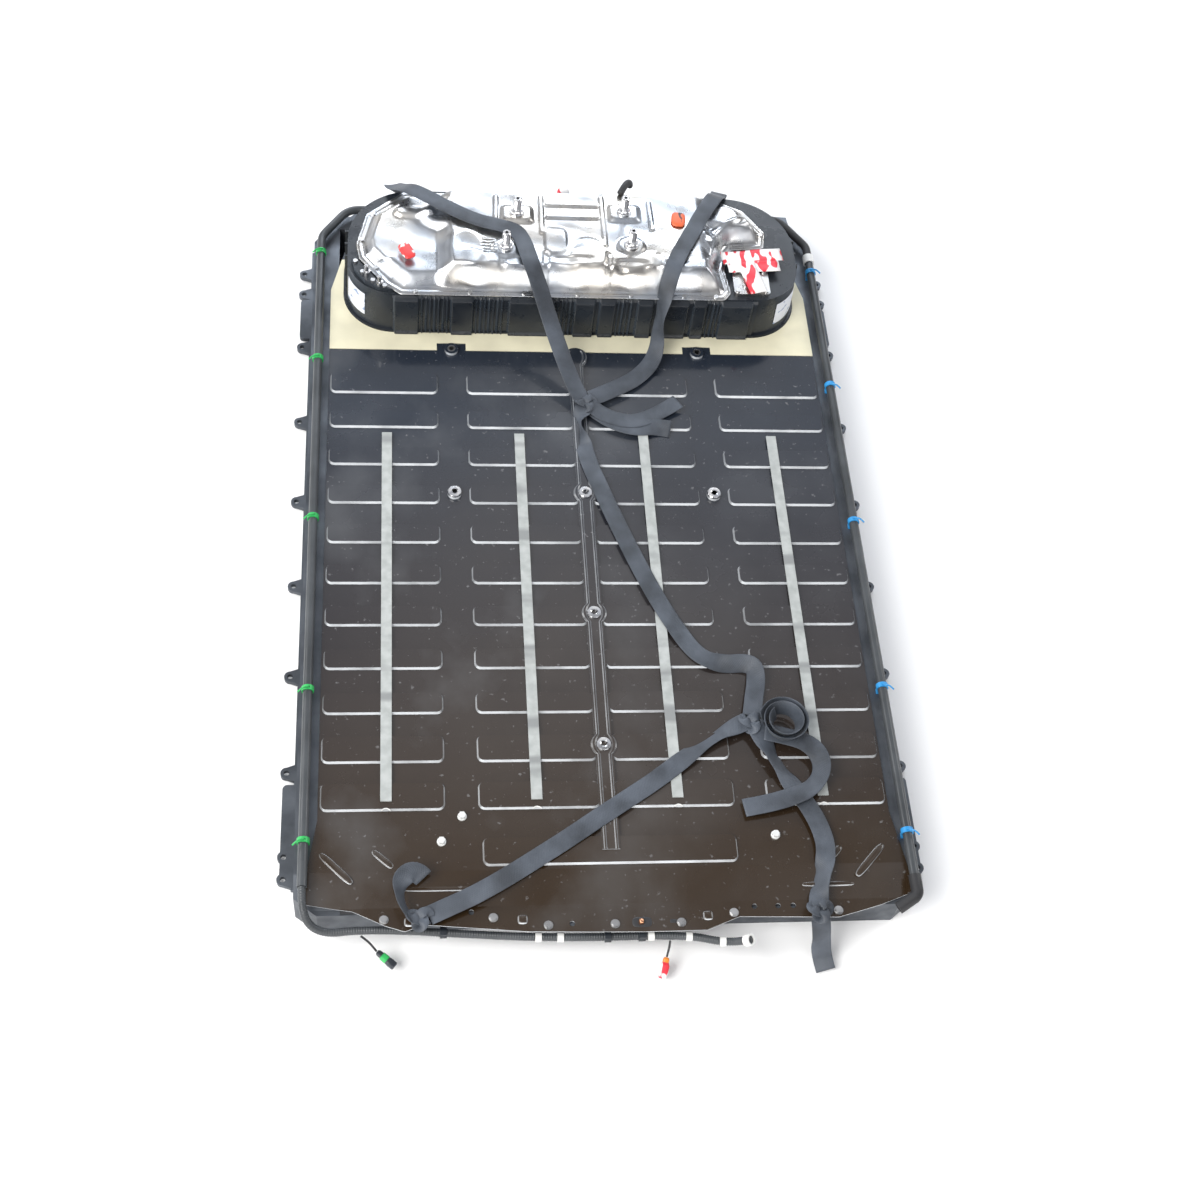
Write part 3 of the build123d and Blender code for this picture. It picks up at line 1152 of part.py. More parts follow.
# ---- Sensor pigtails with their plugs ------------------------------------------------------------
PIGTAIL_RADIUS = 2.5
PLUG_HALF_WIDTH = 10.0
PLUG_LENGTH = 42.0
PLUG_FLATTENING = 0.2
GREEN_ROUTE = [
    (-546, MODULE_FRONT - 97, LINE_Z),
    (-536, MODULE_FRONT - 103, LINE_Z - 4),
    (-524, MODULE_FRONT - 110, LINE_Z - 17),
    (-513, MODULE_FRONT - 119, LINE_Z - 32),
]
RED_ROUTE = [
    (121, MODULE_FRONT - 124, LINE_Z),
    (120, MODULE_FRONT - 132, LINE_Z - 6),
    (118, MODULE_FRONT - 140, LINE_Z - 18),
    (116, MODULE_FRONT - 147, LINE_Z - 32),
]
PIGTAILS = {"green": GREEN_ROUTE, "red": RED_ROUTE}
for colour, route in PIGTAILS.items():
    build_tube(f"pigtail_{colour}", route, bend_radii(route), PIGTAIL_RADIUS)
    print("pigtail", colour, "radii", [round(radius, 1) for radius in bend_radii(route)])

with BuildPart() as pigtail_plugs:
    for route in PIGTAILS.values():
        end, before = Vector(*route[-1]), Vector(*route[-2])
        heading = (end - before).normalized()
        lean = Vector(heading.X, heading.Y, heading.Z * PLUG_FLATTENING)
        with BuildSketch(Plane(origin=end + heading * 5, z_dir=lean)):
            RectangleRounded(2 * PLUG_HALF_WIDTH, 2 * PLUG_HALF_WIDTH, 3)
        extrude(amount=PLUG_LENGTH)
save(pigtail_plugs, "pigtail_plugs")

# ---- Lashing: flat webbing, knotted ---------------------------------------------------------------
STRAP_WIDTH = 44.0
STRAP_THICKNESS = 3.0
REST = LID_TOP + BOSS_HEIGHT + STRIP_THICKNESS + 4.0
OVER = COVER_TOP + 5.0
STRAPS = {
    "strap_rear_left": [
        (-480, 974, BASE_TOP + 14),
        (-458, 934, OVER - 32),
        (-410, 880, OVER + 13),
        (-258, 783, OVER),
        (-188, 772, OVER),
        (-150, 748, OVER),
        (-136, 700, OVER),
        (-122, 632, OVER + 14),
        (-6, 360, REST + 18),
    ],
    "strap_rear_right": [
        (408, 974, BASE_TOP + 14),
        (395, 932, OVER - 32),
        (370, 878, OVER + 13),
        (336, 821, OVER),
        (270, 692, OVER),
        (246, 630, OVER + 12),
        (223, 584, OVER - 34),
        (216, 545, OVER - 110),
        (214, 505, REST + 26),
        (186, 448, REST),
        (118, 388, REST),
        (42, 349, REST + 8),
    ],
    "strap_middle": [
        (2, 296, REST + 8),
        (-3, 238, REST),
        (17, 142, REST),
        (58, 0, REST),
        (119, -179, REST),
        (171, -303, REST),
        (250, -440, REST),
        (362, -452, REST + 5),
        (372, -490, REST + 5),
        (350, -580, REST + 8),
    ],
    "strap_front_left": [
        (312, -618, REST + 8),
        (220, -666, REST),
        (121, -747, REST),
        (-21, -842, REST),
        (-159, -935, REST),
        (-240, -984, REST - 3),
        (-310, -1020, REST - 14),
        (-384, -1052, FRONT_FLANGE_TOP + 8),
    ],
    "strap_front_right": [
        (369, -668, REST + 8),
        (408, -741, REST),
        (446, -804, REST),
        (473, -865, REST),
        (480, -924, REST),
        (462, -990, REST - 8),
        (450, -1040, FRONT_FLANGE_TOP + 9),
    ],
}
TAILS = [
    [(66, 301, REST + 4), (129, 278, REST), (195, 299, REST), (257, 335, REST + 8)],
    [
        (490, -700, REST + 12),
        (496, -724, REST + 12),
        (475, -775, REST + 12),
        (427, -800, REST + 9),
        (309, -829, REST + 1),
    ],
    [(456, -1093, 100), (459, -1118, 70), (464, -1130, 34), (470, -1164, 12)],
    [(-456, -1050, 124), (-474, -1001, 140), (-451, -969, 154), (-408, -960, 146)],
]
KNOTS = [
    (16, 326, REST + 14),
    (345, -614, REST + 14),
    (-418, -1070, FRONT_FLANGE_TOP + 18),
    (452, -1070, FRONT_FLANGE_TOP + 17),
]
KNOT_SIZE = (48.0, 44.0, 32.0)
KNOT_ROUNDING = 8.0
COIL_CENTRE = (420, -622)
COIL_OUTER = 46.0
COIL_INNER = 36.0
PAD_EXTRA = 0.3


def build_webbing(node, routes):
    """Flat runs of webbing, with a round pad where two runs meet."""
    with BuildPart() as webbing:
        for points in routes:
            places = [Vector(*point) for point in points]
            normals = []
            for start, end in zip(places, places[1:]):
                run = end - start
                across = Vector(0, 0, 1).cross(run).normalized()
                normals.append(run.cross(across).normalized())
                with BuildSketch(Plane(origin=start, x_dir=across, z_dir=run)):
                    Rectangle(STRAP_WIDTH, STRAP_THICKNESS)
                extrude(amount=run.length)
            for place, before, after in zip(places[1:], normals, normals[1:]):
                with BuildSketch(Plane(origin=place, z_dir=before + after)):
                    Circle(STRAP_WIDTH / 2 - 0.5)
                extrude(amount=STRAP_THICKNESS / 2 + PAD_EXTRA, both=True)
    save(webbing, node)


for strap_node, strap_route in STRAPS.items():
    build_webbing(strap_node, [strap_route])
build_webbing("strap_tails", TAILS)
with BuildPart() as strap_knots:
    for knot_place in KNOTS:
        with Locations(knot_place):
            Box(*KNOT_SIZE)
    fillet(strap_knots.edges(), KNOT_ROUNDING)
    with BuildSketch(Plane.XY.offset(REST - 2)):
        with Locations(COIL_CENTRE):
            Circle(COIL_OUTER)
            Circle(COIL_INNER, mode=Mode.SUBTRACT)
    extrude(amount=STRAP_WIDTH)
save(strap_knots, "strap_knots")
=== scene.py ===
import json
import math
import random

import bpy
import numpy as np
from mathutils import Matrix, Vector


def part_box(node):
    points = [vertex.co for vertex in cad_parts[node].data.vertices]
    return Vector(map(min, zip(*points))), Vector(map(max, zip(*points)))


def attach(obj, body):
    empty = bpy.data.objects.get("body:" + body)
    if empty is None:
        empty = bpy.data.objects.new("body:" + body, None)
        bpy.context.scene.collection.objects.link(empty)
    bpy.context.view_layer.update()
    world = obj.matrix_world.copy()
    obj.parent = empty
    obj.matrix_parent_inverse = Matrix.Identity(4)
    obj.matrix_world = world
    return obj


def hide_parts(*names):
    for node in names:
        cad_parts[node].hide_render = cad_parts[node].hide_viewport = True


# Looks of a traction battery pack, built round its CAD frame. Metres; +Z up, +Y to the rear.

SEED = 7
MM = 0.001
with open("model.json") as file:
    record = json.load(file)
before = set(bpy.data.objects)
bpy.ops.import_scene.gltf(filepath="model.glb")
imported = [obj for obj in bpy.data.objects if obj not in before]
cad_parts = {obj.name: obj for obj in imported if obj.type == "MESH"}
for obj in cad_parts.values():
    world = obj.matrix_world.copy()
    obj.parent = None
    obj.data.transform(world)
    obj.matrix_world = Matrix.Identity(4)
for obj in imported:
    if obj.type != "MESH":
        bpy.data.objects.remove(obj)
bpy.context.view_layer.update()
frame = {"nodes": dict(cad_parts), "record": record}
NODES = frame["nodes"]
RECORD = frame["record"]
random.seed(SEED)


# ---- Levels and places, taken from the frame ----
def low(node):
    """The least corner of a CAD node's box."""
    return Vector(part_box(node)[0])


def high(node):
    """The greatest corner of a CAD node's box."""
    return Vector(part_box(node)[1])


LID_TOP = low("surround_panel").z
BEAD_TOP = low("foam_strips").z
STRIP_TOP = high("foam_strips").z
COVER_FLOOR = low("housing_cover").z
COVER_TOP = high("housing_cover").z
BASE_TOP = high("housing_base").z
FLANGE_TOP = LID_TOP - 0.020
HOUSING_FRONT = low("housing_cover").y + 0.002


# ---- Camera ----
CAMERA_PLACE = Vector((-0.4697, -2.5246, 3.6286))
CAMERA_PITCH = 0.988
CAMERA_YAW = -0.212
CAMERA_ROLL = 0.177


def add_camera():
    """A camera looking down along the pack from its front, a little from the left and rolled."""
    cp, sp = math.cos(CAMERA_PITCH), math.sin(CAMERA_PITCH)
    cy, sy = math.cos(CAMERA_YAW), math.sin(CAMERA_YAW)
    right = Vector((cy, sy, 0))
    ahead = Vector((-sy * cp, cy * cp, -sp))
    up = right.cross(ahead)
    cr, sr = math.cos(CAMERA_ROLL), math.sin(CAMERA_ROLL)
    rolled_right = cr * right + sr * up
    rolled_up = -sr * right + cr * up
    data = bpy.data.cameras.new("camera")
    data.lens = 52.4
    data.sensor_width = 36
    data.clip_end = 60
    camera = bpy.data.objects.new("camera", data)
    axes = Matrix((rolled_right, rolled_up, -ahead)).transposed()
    camera.matrix_world = Matrix.Translation(CAMERA_PLACE) @ axes.to_4x4()
    bpy.context.scene.collection.objects.link(camera)
    bpy.context.scene.camera = camera


add_camera()


# ---- Materials ----
class Shader:
    """A material's node tree, with short ways to add and join nodes."""

    def __init__(self, name, color, roughness, metallic=0.0):
        self.material = bpy.data.materials.new(name)
        self.material.use_nodes = True
        self.tree = self.material.node_tree
        self.surface = self.tree.nodes["Principled BSDF"]
        self.surface.inputs["Base Color"].default_value = (*color, 1)
        self.surface.inputs["Roughness"].default_value = roughness
        self.surface.inputs["Metallic"].default_value = metallic

    def node(self, kind, **settings):
        node = self.tree.nodes.new(kind)
        for name, value in settings.items():
            setattr(node, name, value)
        return node

    def link(self, source, target):
        self.tree.links.new(source, target)

    def coordinates(self, output="Object"):
        return self.node("ShaderNodeTexCoord").outputs[output]

    def noise(self, scale, detail=3.0, stretch=(1, 1, 1), output="Object"):
        mapping = self.node("ShaderNodeMapping")
        mapping.inputs["Scale"].default_value = stretch
        self.link(self.coordinates(output), mapping.inputs["Vector"])
        noise = self.node("ShaderNodeTexNoise")
        noise.inputs["Scale"].default_value = scale
        noise.inputs["Detail"].default_value = detail
        self.link(mapping.outputs["Vector"], noise.inputs["Vector"])
        return noise.outputs["Fac"]

    def combine(self, operation, *values):
        """A maths node on sockets or numbers."""
        node = self.node("ShaderNodeMath", operation=operation)
        for socket, value in zip(node.inputs, values):
            if isinstance(value, float):
                socket.default_value = value
            else:
                self.link(value, socket)
        return node.outputs[0]

    def spread(self, source, low_value, high_value, start=0.35, end=0.65):
        """The range from start to end of a value, stretched between two values."""
        scale = self.node("ShaderNodeMapRange")
        scale.inputs["From Min"].default_value = start
        scale.inputs["From Max"].default_value = end
        scale.inputs["To Min"].default_value = low_value
        scale.inputs["To Max"].default_value = high_value
        self.link(source, scale.inputs["Value"])
        return scale.outputs["Result"]

    def mix(self, factor, first, second):
        """A blend of two colours, each a socket or three numbers."""
        mix = self.node("ShaderNodeMix", data_type="RGBA")
        if isinstance(factor, float):
            mix.inputs["Factor"].default_value = factor
        else:
            self.link(factor, mix.inputs["Factor"])
        for socket, value in ((mix.inputs["A"], first), (mix.inputs["B"], second)):
            if isinstance(value, tuple):
                socket.default_value = (*value, 1)
            else:
                self.link(value, socket)
        return mix.outputs["Result"]

    def bump(self, height, strength, distance=0.001):
        bump = self.node("ShaderNodeBump")
        bump.inputs["Strength"].default_value = strength
        bump.inputs["Distance"].default_value = distance
        self.link(height, bump.inputs["Height"])
        self.link(bump.outputs["Normal"], self.surface.inputs["Normal"])

    def set_color(self, source):
        self.link(source, self.surface.inputs["Base Color"])

    def set_roughness(self, source):
        self.link(source, self.surface.inputs["Roughness"])


def slot_color(slot):
    """The base colour that the record gives a slot."""
    for material in RECORD["materials"]:
        if material["slot"] == slot:
            return tuple(material["base_color"])
    return (0.5, 0.5, 0.5)


def plain(slot, roughness, metallic=0.0, wear=0.0, grain=0.0):
    """One slot's colour, with a little uneven wear and grain."""
    color = slot_color(slot)
    shader = Shader(slot, color, roughness, metallic)
    if wear:
        lighter = tuple(min(1.0, c * (1 + wear) + 0.02 * wear) for c in color)
        darker = tuple(c * (1 - 0.6 * wear) for c in color)
        patches = shader.noise(9.0, 5.0)
        shader.set_color(shader.mix(shader.spread(patches, 0.0, 1.0), darker, lighter))
        rougher = min(1.0, roughness * 1.25)
        shader.set_roughness(shader.spread(shader.noise(23.0, 4.0), roughness * 0.8, rougher))
    if grain:
        shader.bump(shader.noise(900.0, 2.0), grain, 0.0004)
    return shader.material


def facing_masks(shader):
    """How far a face tips to the front, and how far to either side, each from 0 to 1; these place the
    painted highlights.
    """
    geometry = shader.node("ShaderNodeNewGeometry")
    split = shader.node("ShaderNodeSeparateXYZ")
    shader.link(geometry.outputs["Normal"], split.inputs["Vector"])
    front = shader.spread(split.outputs["Y"], 0.0, 1.0, -0.35, -0.75)
    sideways = shader.combine("ABSOLUTE", split.outputs["X"])
    return front, shader.spread(sideways, 0.0, 0.45, 0.3, 0.8)


def lid_paint():
    """Glossy dark coating with dust in patches; its tint runs from brown at the front to blue at the rear as
    a painted reflection, and faces tipped to the front or to either side carry a painted highlight.
    """
    shader = Shader("lid_paint", slot_color("lid_paint"), 0.2)
    shader.surface.inputs["Coat Weight"].default_value = 0.5
    shader.surface.inputs["Coat Roughness"].default_value = 0.08
    place = shader.node("ShaderNodeSeparateXYZ")
    shader.link(shader.coordinates(), place.inputs["Vector"])
    # Painted reflection: the dark coat is tinted brown towards the front and blue towards the rear.
    along = shader.spread(place.outputs["Y"], 0.0, 1.0, -0.9, 0.3)
    base = shader.mix(along, (0.030, 0.018, 0.009), (0.016, 0.022, 0.034))
    dust_band = shader.spread(place.outputs["X"], 1.0, 0.25, -0.1, 0.25)
    dust = shader.spread(shader.noise(4.2, 8.0, (1.0, 0.8, 1.0)), 0.0, 0.2, 0.5, 0.72)
    base = shader.mix(shader.combine("MULTIPLY", dust, dust_band), base, (0.20, 0.21, 0.22))
    specks = shader.spread(shader.noise(75.0, 6.0), 0.0, 0.35, 0.66, 0.74)
    base = shader.mix(specks, base, (0.30, 0.30, 0.31))
    # Painted highlight: faces tipped to the front or to either side are lightened to pale grey, broken up by
    # noise.
    front, sideways = facing_masks(shader)
    gaps = shader.spread(shader.noise(8.0, 4.0), 0.55, 1.0, 0.35, 0.55)
    painted_highlight = shader.combine("MULTIPLY", shader.combine("MAXIMUM", front, sideways), gaps)
    shader.set_color(shader.mix(painted_highlight, base, (0.66, 0.69, 0.72)))
    shader.set_roughness(shader.spread(shader.noise(5.0, 6.0), 0.1, 0.3))
    shader.bump(shader.noise(9.0, 3.0), 0.16, 0.003)
    return shader.material


def formed_aluminium():
    """Bright formed sheet with faint warm and cool patches, rolling marks and fine dents."""
    shader = Shader("formed_aluminium", (0.7, 0.71, 0.72), 0.22, 1.0)
    patches = shader.spread(shader.noise(7.0, 4.0), 0.0, 1.0, 0.42, 0.6)
    tone = shader.mix(patches, (0.54, 0.57, 0.61), (0.70, 0.67, 0.62))
    stains = shader.spread(shader.noise(3.0, 5.0, (1.0, 1.6, 1.0)), 0.0, 0.55, 0.5, 0.66)
    shader.set_color(shader.mix(stains, tone, (0.40, 0.38, 0.36)))
    shader.set_roughness(shader.spread(shader.noise(16.0, 5.0), 0.2, 0.38))
    shader.bump(shader.noise(20.0, 4.0), 0.3, 0.0015)
    return shader.material


def ribbed_plastic():
    """Moulded black plastic in slightly varied tones, with a painted cool highlight on faces turned to
    either side, such as the rib sides.
    """
    shader = Shader("black_plastic", slot_color("black_plastic"), 0.32)
    front, sideways = facing_masks(shader)
    patches = shader.spread(shader.noise(7.0, 4.0), 0.0, 1.0)
    base = shader.mix(patches, (0.010, 0.013, 0.018), (0.022, 0.027, 0.034))
    # Painted highlight: faces turned to either side are lightened to a cool blue.
    shader.set_color(shader.mix(sideways, base, (0.060, 0.075, 0.095)))
    shader.set_roughness(shader.spread(shader.noise(23.0, 4.0), 0.22, 0.42))
    shader.bump(shader.noise(600.0, 2.0), 0.05, 0.0004)
    return shader.material


def webbing():
    """Dark flat weave: fine ribs across the strap, from the strap's own length and width."""
    shader = Shader("webbing", (0.020, 0.022, 0.028), 0.5)
    shader.surface.inputs["Sheen Weight"].default_value = 0.06
    split = shader.node("ShaderNodeSeparateXYZ")
    shader.link(shader.coordinates("UV"), split.inputs["Vector"])
    waves = []
    for axis, pitch in (("Y", 1500.0), ("X", 900.0)):
        waves.append(shader.combine("SINE", shader.combine("MULTIPLY", split.outputs[axis], pitch)))
    tone = shader.spread(shader.noise(12.0, 4.0), 0.0, 1.0)
    shader.set_color(shader.mix(tone, (0.030, 0.036, 0.046), (0.078, 0.092, 0.115)))
    shader.bump(shader.combine("MULTIPLY", *waves), 0.35, 0.0006)
    return shader.material


def creased_foam():
    """Grey adhesive foam, creased across where it was pressed down by hand, with painted shade along the
    crease lines.
    """
    shader = Shader("grey_foam", slot_color("grey_foam"), 0.7)
    # Painted shade: darker lines where the foam is creased.
    painted_crease_shade = shader.spread(shader.noise(16.0, 2.0, (0.12, 1.0, 1.0)), 0.0, 1.0, 0.55, 0.66)
    patches = shader.spread(shader.noise(40.0, 4.0), 0.0, 1.0)
    tone = shader.mix(patches, (0.34, 0.36, 0.35), (0.44, 0.46, 0.45))
    shader.set_color(shader.mix(painted_crease_shade, tone, (0.24, 0.25, 0.25)))
    shader.bump(shader.noise(16.0, 2.0, (0.3, 1.0, 1.0)), 0.8, 0.006)
    return shader.material


def marked(name, ground, mark, scale, low_cut=0.5):
    """A ground colour with generic marks that spell nothing."""
    shader = Shader(name, ground, 0.45)
    marks = shader.noise(scale, 1.0, (1.0, 0.45, 1.0))
    shader.set_color(shader.mix(shader.spread(marks, 0.0, 1.0, low_cut, low_cut + 0.03), ground, mark))
    return shader.material


MATERIALS = {
    "lid_paint": lid_paint(),
    "cream_panel": plain("cream_panel", 0.5, wear=0.12),
    "formed_aluminium": formed_aluminium(),
    "black_plastic": ribbed_plastic(),
    "rail_metal": plain("rail_metal", 0.5, 0.75, wear=0.35, grain=0.1),
    "bare_aluminium": plain("bare_aluminium", 0.35, 1.0, wear=0.1),
    "cell_casing": plain("cell_casing", 0.4, 0.2, wear=0.05),
    "circuit_board": plain("circuit_board", 0.35),
    "plated_steel": plain("plated_steel", 0.32, 1.0, wear=0.3),
    "bright_plating": plain("bright_plating", 0.16, 1.0, wear=0.1),
    "pale_bolt": plain("pale_bolt", 0.4, 0.3, wear=0.1),
    "grey_foam": creased_foam(),
    "black_rubber": plain("black_rubber", 0.55, wear=0.2),
    "pipe_plastic": plain("pipe_plastic", 0.36, wear=0.3, grain=0.05),
    "green_plastic": plain("green_plastic", 0.4),
    "blue_plastic": plain("blue_plastic", 0.4),
    "white_plastic": plain("white_plastic", 0.45, wear=0.06),
    "white_tape": plain("white_tape", 0.6, wear=0.1),
    "lever_orange": plain("lever_orange", 0.4),
    "copper": plain("copper", 0.3, 1.0, wear=0.1),
    "webbing": webbing(),
}
for part in RECORD["subparts"]:
    mesh = NODES[part["node"]].data
    mesh.materials.clear()
    mesh.materials.append(MATERIALS[part["material_slot"]])
WARNING_TAPE = marked("warning_tape", (0.85, 0.83, 0.82), (0.72, 0.03, 0.05), 45.0, 0.52)
RED_TAG = marked("red_tag", (0.70, 0.05, 0.05), (0.85, 0.80, 0.78), 70.0, 0.55)
ORANGE_TAG = marked("orange_tag", (0.75, 0.14, 0.05), (0.06, 0.03, 0.03), 70.0, 0.62)
LABEL = marked("blank_label", (0.80, 0.83, 0.90), (0.30, 0.38, 0.55), 60.0, 0.62)


# ---- Making pieces ----
def add_mesh(name, points, faces, slot, uv=None, smooth=True, material=None):
    """A mesh object that takes its finish from a record slot."""
    mesh = bpy.data.meshes.new(name)
    mesh.from_pydata([tuple(point) for point in points], [], faces)
    mesh.update()
    if uv is not None:
        layer = mesh.uv_layers.new(name="UVMap")
        for loop in mesh.loops:
            layer.data[loop.index].uv = uv[loop.vertex_index]
    if smooth:
        mesh.polygons.foreach_set("use_smooth", [True] * len(mesh.polygons))
    piece = bpy.data.objects.new(name, mesh)
    bpy.context.scene.collection.objects.link(piece)
    mesh.materials.append(material or MATERIALS[slot])
    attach(piece, "pack")
    return piece


def nurbs_points(controls, steps):
    """Points along an open NURBS curve of order 3 through its end controls."""
    controls = [Vector(c) for c in controls]
    count = len(controls)
    degree = 2
    inner = count - degree
    knots = [0.0] * degree + [i / inner for i in range(inner + 1)] + [1.0] * degree
    result = []
    for step in range(steps + 1):
        u = min(step / steps, 1 - 1e-9)
        span = degree
        while span < count - 1 and u >= knots[span + 1]:
            span += 1
        local = [controls[j + span - degree].copy() for j in range(degree + 1)]
        for r in range(1, degree + 1):
            for j in range(degree, r - 1, -1):
                left = knots[j + span - degree]
                right = knots[j + 1 + span - r]
                blend = 0.0 if right == left else (u - left) / (right - left)
                local[j] = local[j - 1].lerp(local[j], blend)
        result.append(local[degree])
    return result


def even_points(points, step):
    """The same line, resampled at an even step."""
    lengths = [0.0]
    for a, b in zip(points, points[1:]):
        lengths.append(lengths[-1] + (b - a).length)
    total = lengths[-1]
    count = max(2, int(total / step))
    result, at = [], 0
    for i in range(count + 1):
        target = total * i / count
        while at < len(points) - 2 and lengths[at + 1] < target:
            at += 1
        room = lengths[at + 1] - lengths[at]
        share = 0.0 if room == 0 else (target - lengths[at]) / room
        result.append(points[at].lerp(points[at + 1], min(1.0, share)))
    return result, total


STRAP_WIDTH = 44 * MM
STRAP_THICKNESS = 2.2 * MM
EDGE_SHARES = (-0.5, -0.46, -0.2, 0.2, 0.46, 0.5)


def sleeve_faces(rings, sides):
    """Faces joining one ring of points to the next, closed by a cap at each end."""
    faces = []
    for row in range(rings - 1):
        for k in range(sides):
            a = row * sides + k
            b = row * sides + (k + 1) % sides
            faces.append((a, b, b + sides, a + sides))
    faces.append(tuple(range(sides))[::-1])
    faces.append(tuple((rings - 1) * sides + k for k in range(sides)))
    return faces


def ribbon(name, controls, twists=(), width=STRAP_WIDTH, step=0.006):
    """Flat webbing along a curve; twists are (share of length, degrees, spread) turns about its own line."""
    points, total = even_points(nurbs_points(controls, 40 * len(controls)), step)
    rows, uv = [], []
    count = len(points)
    across = None
    for index, point in enumerate(points):
        ahead = points[min(index + 1, count - 1)] - points[max(index - 1, 0)]
        ahead.normalize()
        flat = ahead.cross(Vector((0, 0, 1)))
        if flat.length < 0.25 and across is not None:
            flat = across - ahead * across.dot(ahead)
        flat.normalize()
        if across is not None and flat.dot(across) < 0:
            flat.negate()
        across = flat
        share = index / (count - 1)
        angle = 0.0
        for place, degrees, spread in twists:
            reach = min(1.0, max(0.0, (share - place) / spread + 0.5))
            angle += math.radians(degrees) * reach * reach * (3 - 2 * reach)
        side = Matrix.Rotation(angle, 3, ahead) @ flat
        normal = side.cross(ahead)
        if normal.z < 0 and not twists:
            normal.negate()
        for face_side in (1, -1):
            order = EDGE_SHARES if face_side == 1 else EDGE_SHARES[::-1]
            for part in order:
                crown = 0.5 if abs(part) > 0.47 else 1.0
                rows.append(point + side * part * width + normal * face_side * crown * STRAP_THICKNESS / 2)
                uv.append((part * width, share * total))
    piece = add_mesh(name, rows, sleeve_faces(count, 2 * len(EDGE_SHARES)), "webbing", uv)
    return piece


def tube(name, controls, radius, slot, step=0.004, ripple=0.0, pitch=0.006, sides=18):
    """A round tube on a curve, corrugated where ripple is set."""
    points, total = even_points(nurbs_points(controls, 40 * len(controls)), step)
    rows = []
    normal = None
    count = len(points)
    for index, point in enumerate(points):
        ahead = (points[min(index + 1, count - 1)] - points[max(index - 1, 0)]).normalized()
        if normal is None:
            normal = ahead.orthogonal().normalized()
        normal = (normal - ahead * normal.dot(ahead)).normalized()
        other = ahead.cross(normal)
        wide = radius + ripple * math.cos(2 * math.pi * total * index / (count - 1) / pitch)
        for k in range(sides):
            turn = 2 * math.pi * k / sides
            rows.append(point + (normal * math.cos(turn) + other * math.sin(turn)) * wide)
    return add_mesh(name, rows, sleeve_faces(count, sides), slot)


def squared(value):
    """A sine or cosine drawn outwards, so that a circle becomes a rounded square."""
    return math.copysign(abs(value) ** 0.6, value)


def dome(name, place, size, slot, tilt=0.0, height=0.3, rows=7, sides=28, material=None):
    """A low rounded pad on a surface: size is (x, y) half widths, height its rise."""
    points = []
    for row in range(rows + 1):
        t = row / rows
        out = math.cos(t * math.pi / 2) ** 0.45 if row < rows else 0.0
        for k in range(sides):
            turn = 2 * math.pi * k / sides
            x = size[0] * out * squared(math.cos(turn))
            y = size[1] * out * squared(math.sin(turn))
            spun_x = x * math.cos(tilt) - y * math.sin(tilt)
            spun = Vector((spun_x, x * math.sin(tilt) + y * math.cos(tilt), 0))
            points.append(Vector(place) + spun + Vector((0, 0, height * math.sin(t * math.pi / 2))))
    return add_mesh(name, points, sleeve_faces(rows + 1, sides), slot, material=material)


def lathe(name, centre, profile, slot, sides=32):
    """A turned piece on an upright axis; profile is (radius, height) pairs in mm, closed on itself."""
    centre = Vector(centre)
    points, faces = [], []
    for radius, rise in profile:
        for k in range(sides):
            turn = 2 * math.pi * k / sides
            points.append(centre + Vector((radius * math.cos(turn), radius * math.sin(turn), rise)) * MM)
    rows = len(profile)
    for row in range(rows):
        for k in range(sides):
            a = row * sides + k
            b = row * sides + (k + 1) % sides
            c = (row + 1) % rows * sides
            faces.append((b, a, c + k, c + (k + 1) % sides))
    return add_mesh(name, points, faces, slot, smooth=False)


# ---- Cords: two sensor pigtails ----
MODULE_FRONT = -0.990
LINE_Z = FLANGE_TOP - 0.026
PIGTAILS = {
    "green": [
        (-0.546, MODULE_FRONT - 0.097, LINE_Z),
        (-0.536, MODULE_FRONT - 0.103, LINE_Z - 0.004),
        (-0.524, MODULE_FRONT - 0.110, LINE_Z - 0.017),
        (-0.513, MODULE_FRONT - 0.119, LINE_Z - 0.032),
    ],
    "red": [
        (0.121, MODULE_FRONT - 0.124, LINE_Z),
        (0.120, MODULE_FRONT - 0.132, LINE_Z - 0.006),
        (0.118, MODULE_FRONT - 0.140, LINE_Z - 0.018),
        (0.116, MODULE_FRONT - 0.147, LINE_Z - 0.032),
    ],
}
PIGTAIL_DIAMETER = 5 * MM


PLUGS = {
    "green": (
        ("black_plastic", ((0.002, 4.0), (0.006, 6.5), (0.016, 6.8))),
        ("green_plastic", ((0.0155, 8.4), (0.030, 8.6), (0.0305, 7.6))),
        ("black_plastic", ((0.0290, 7.6), (0.038, 9.0), (0.050, 8.8), (0.052, 7.0))),
    ),
    "red": (
        ("lever_orange", ((0.002, 4.0), (0.006, 7.0), (0.014, 7.0))),
        ("white_tape", ((0.0135, 7.5), (0.020, 10.5), (0.034, 11.0), (0.046, 9.0), (0.049, 6.0))),
    ),
}


def add_plug(colour, end, before):
    """A sensor plug in stepped sections, carried on at the end of its pigtail."""
    heading = (end - before).normalized()
    heading.z *= 0.2
    heading.normalize()
    side = heading.cross(Vector((0, 0, 1))).normalized()
    up = side.cross(heading)
    sides = 20
    pieces = []
    for index, (slot, stations) in enumerate(PLUGS[colour]):
        points = []
        for reach, half in stations:
            for k in range(sides):
                turn = 2 * math.pi * (k + 0.5) / sides
                across = side * squared(math.cos(turn)) + up * squared(math.sin(turn))
                points.append(end + heading * reach + across * half * MM)
        look = WARNING_TAPE if slot == "white_tape" else MATERIALS[slot]
        faces = sleeve_faces(len(stations), sides)
        piece = add_mesh(f"plug_{colour}_{index + 1}", points, faces, slot, smooth=False, material=look)
        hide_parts("pigtail_plugs")
        pieces.append(piece)
    return pieces


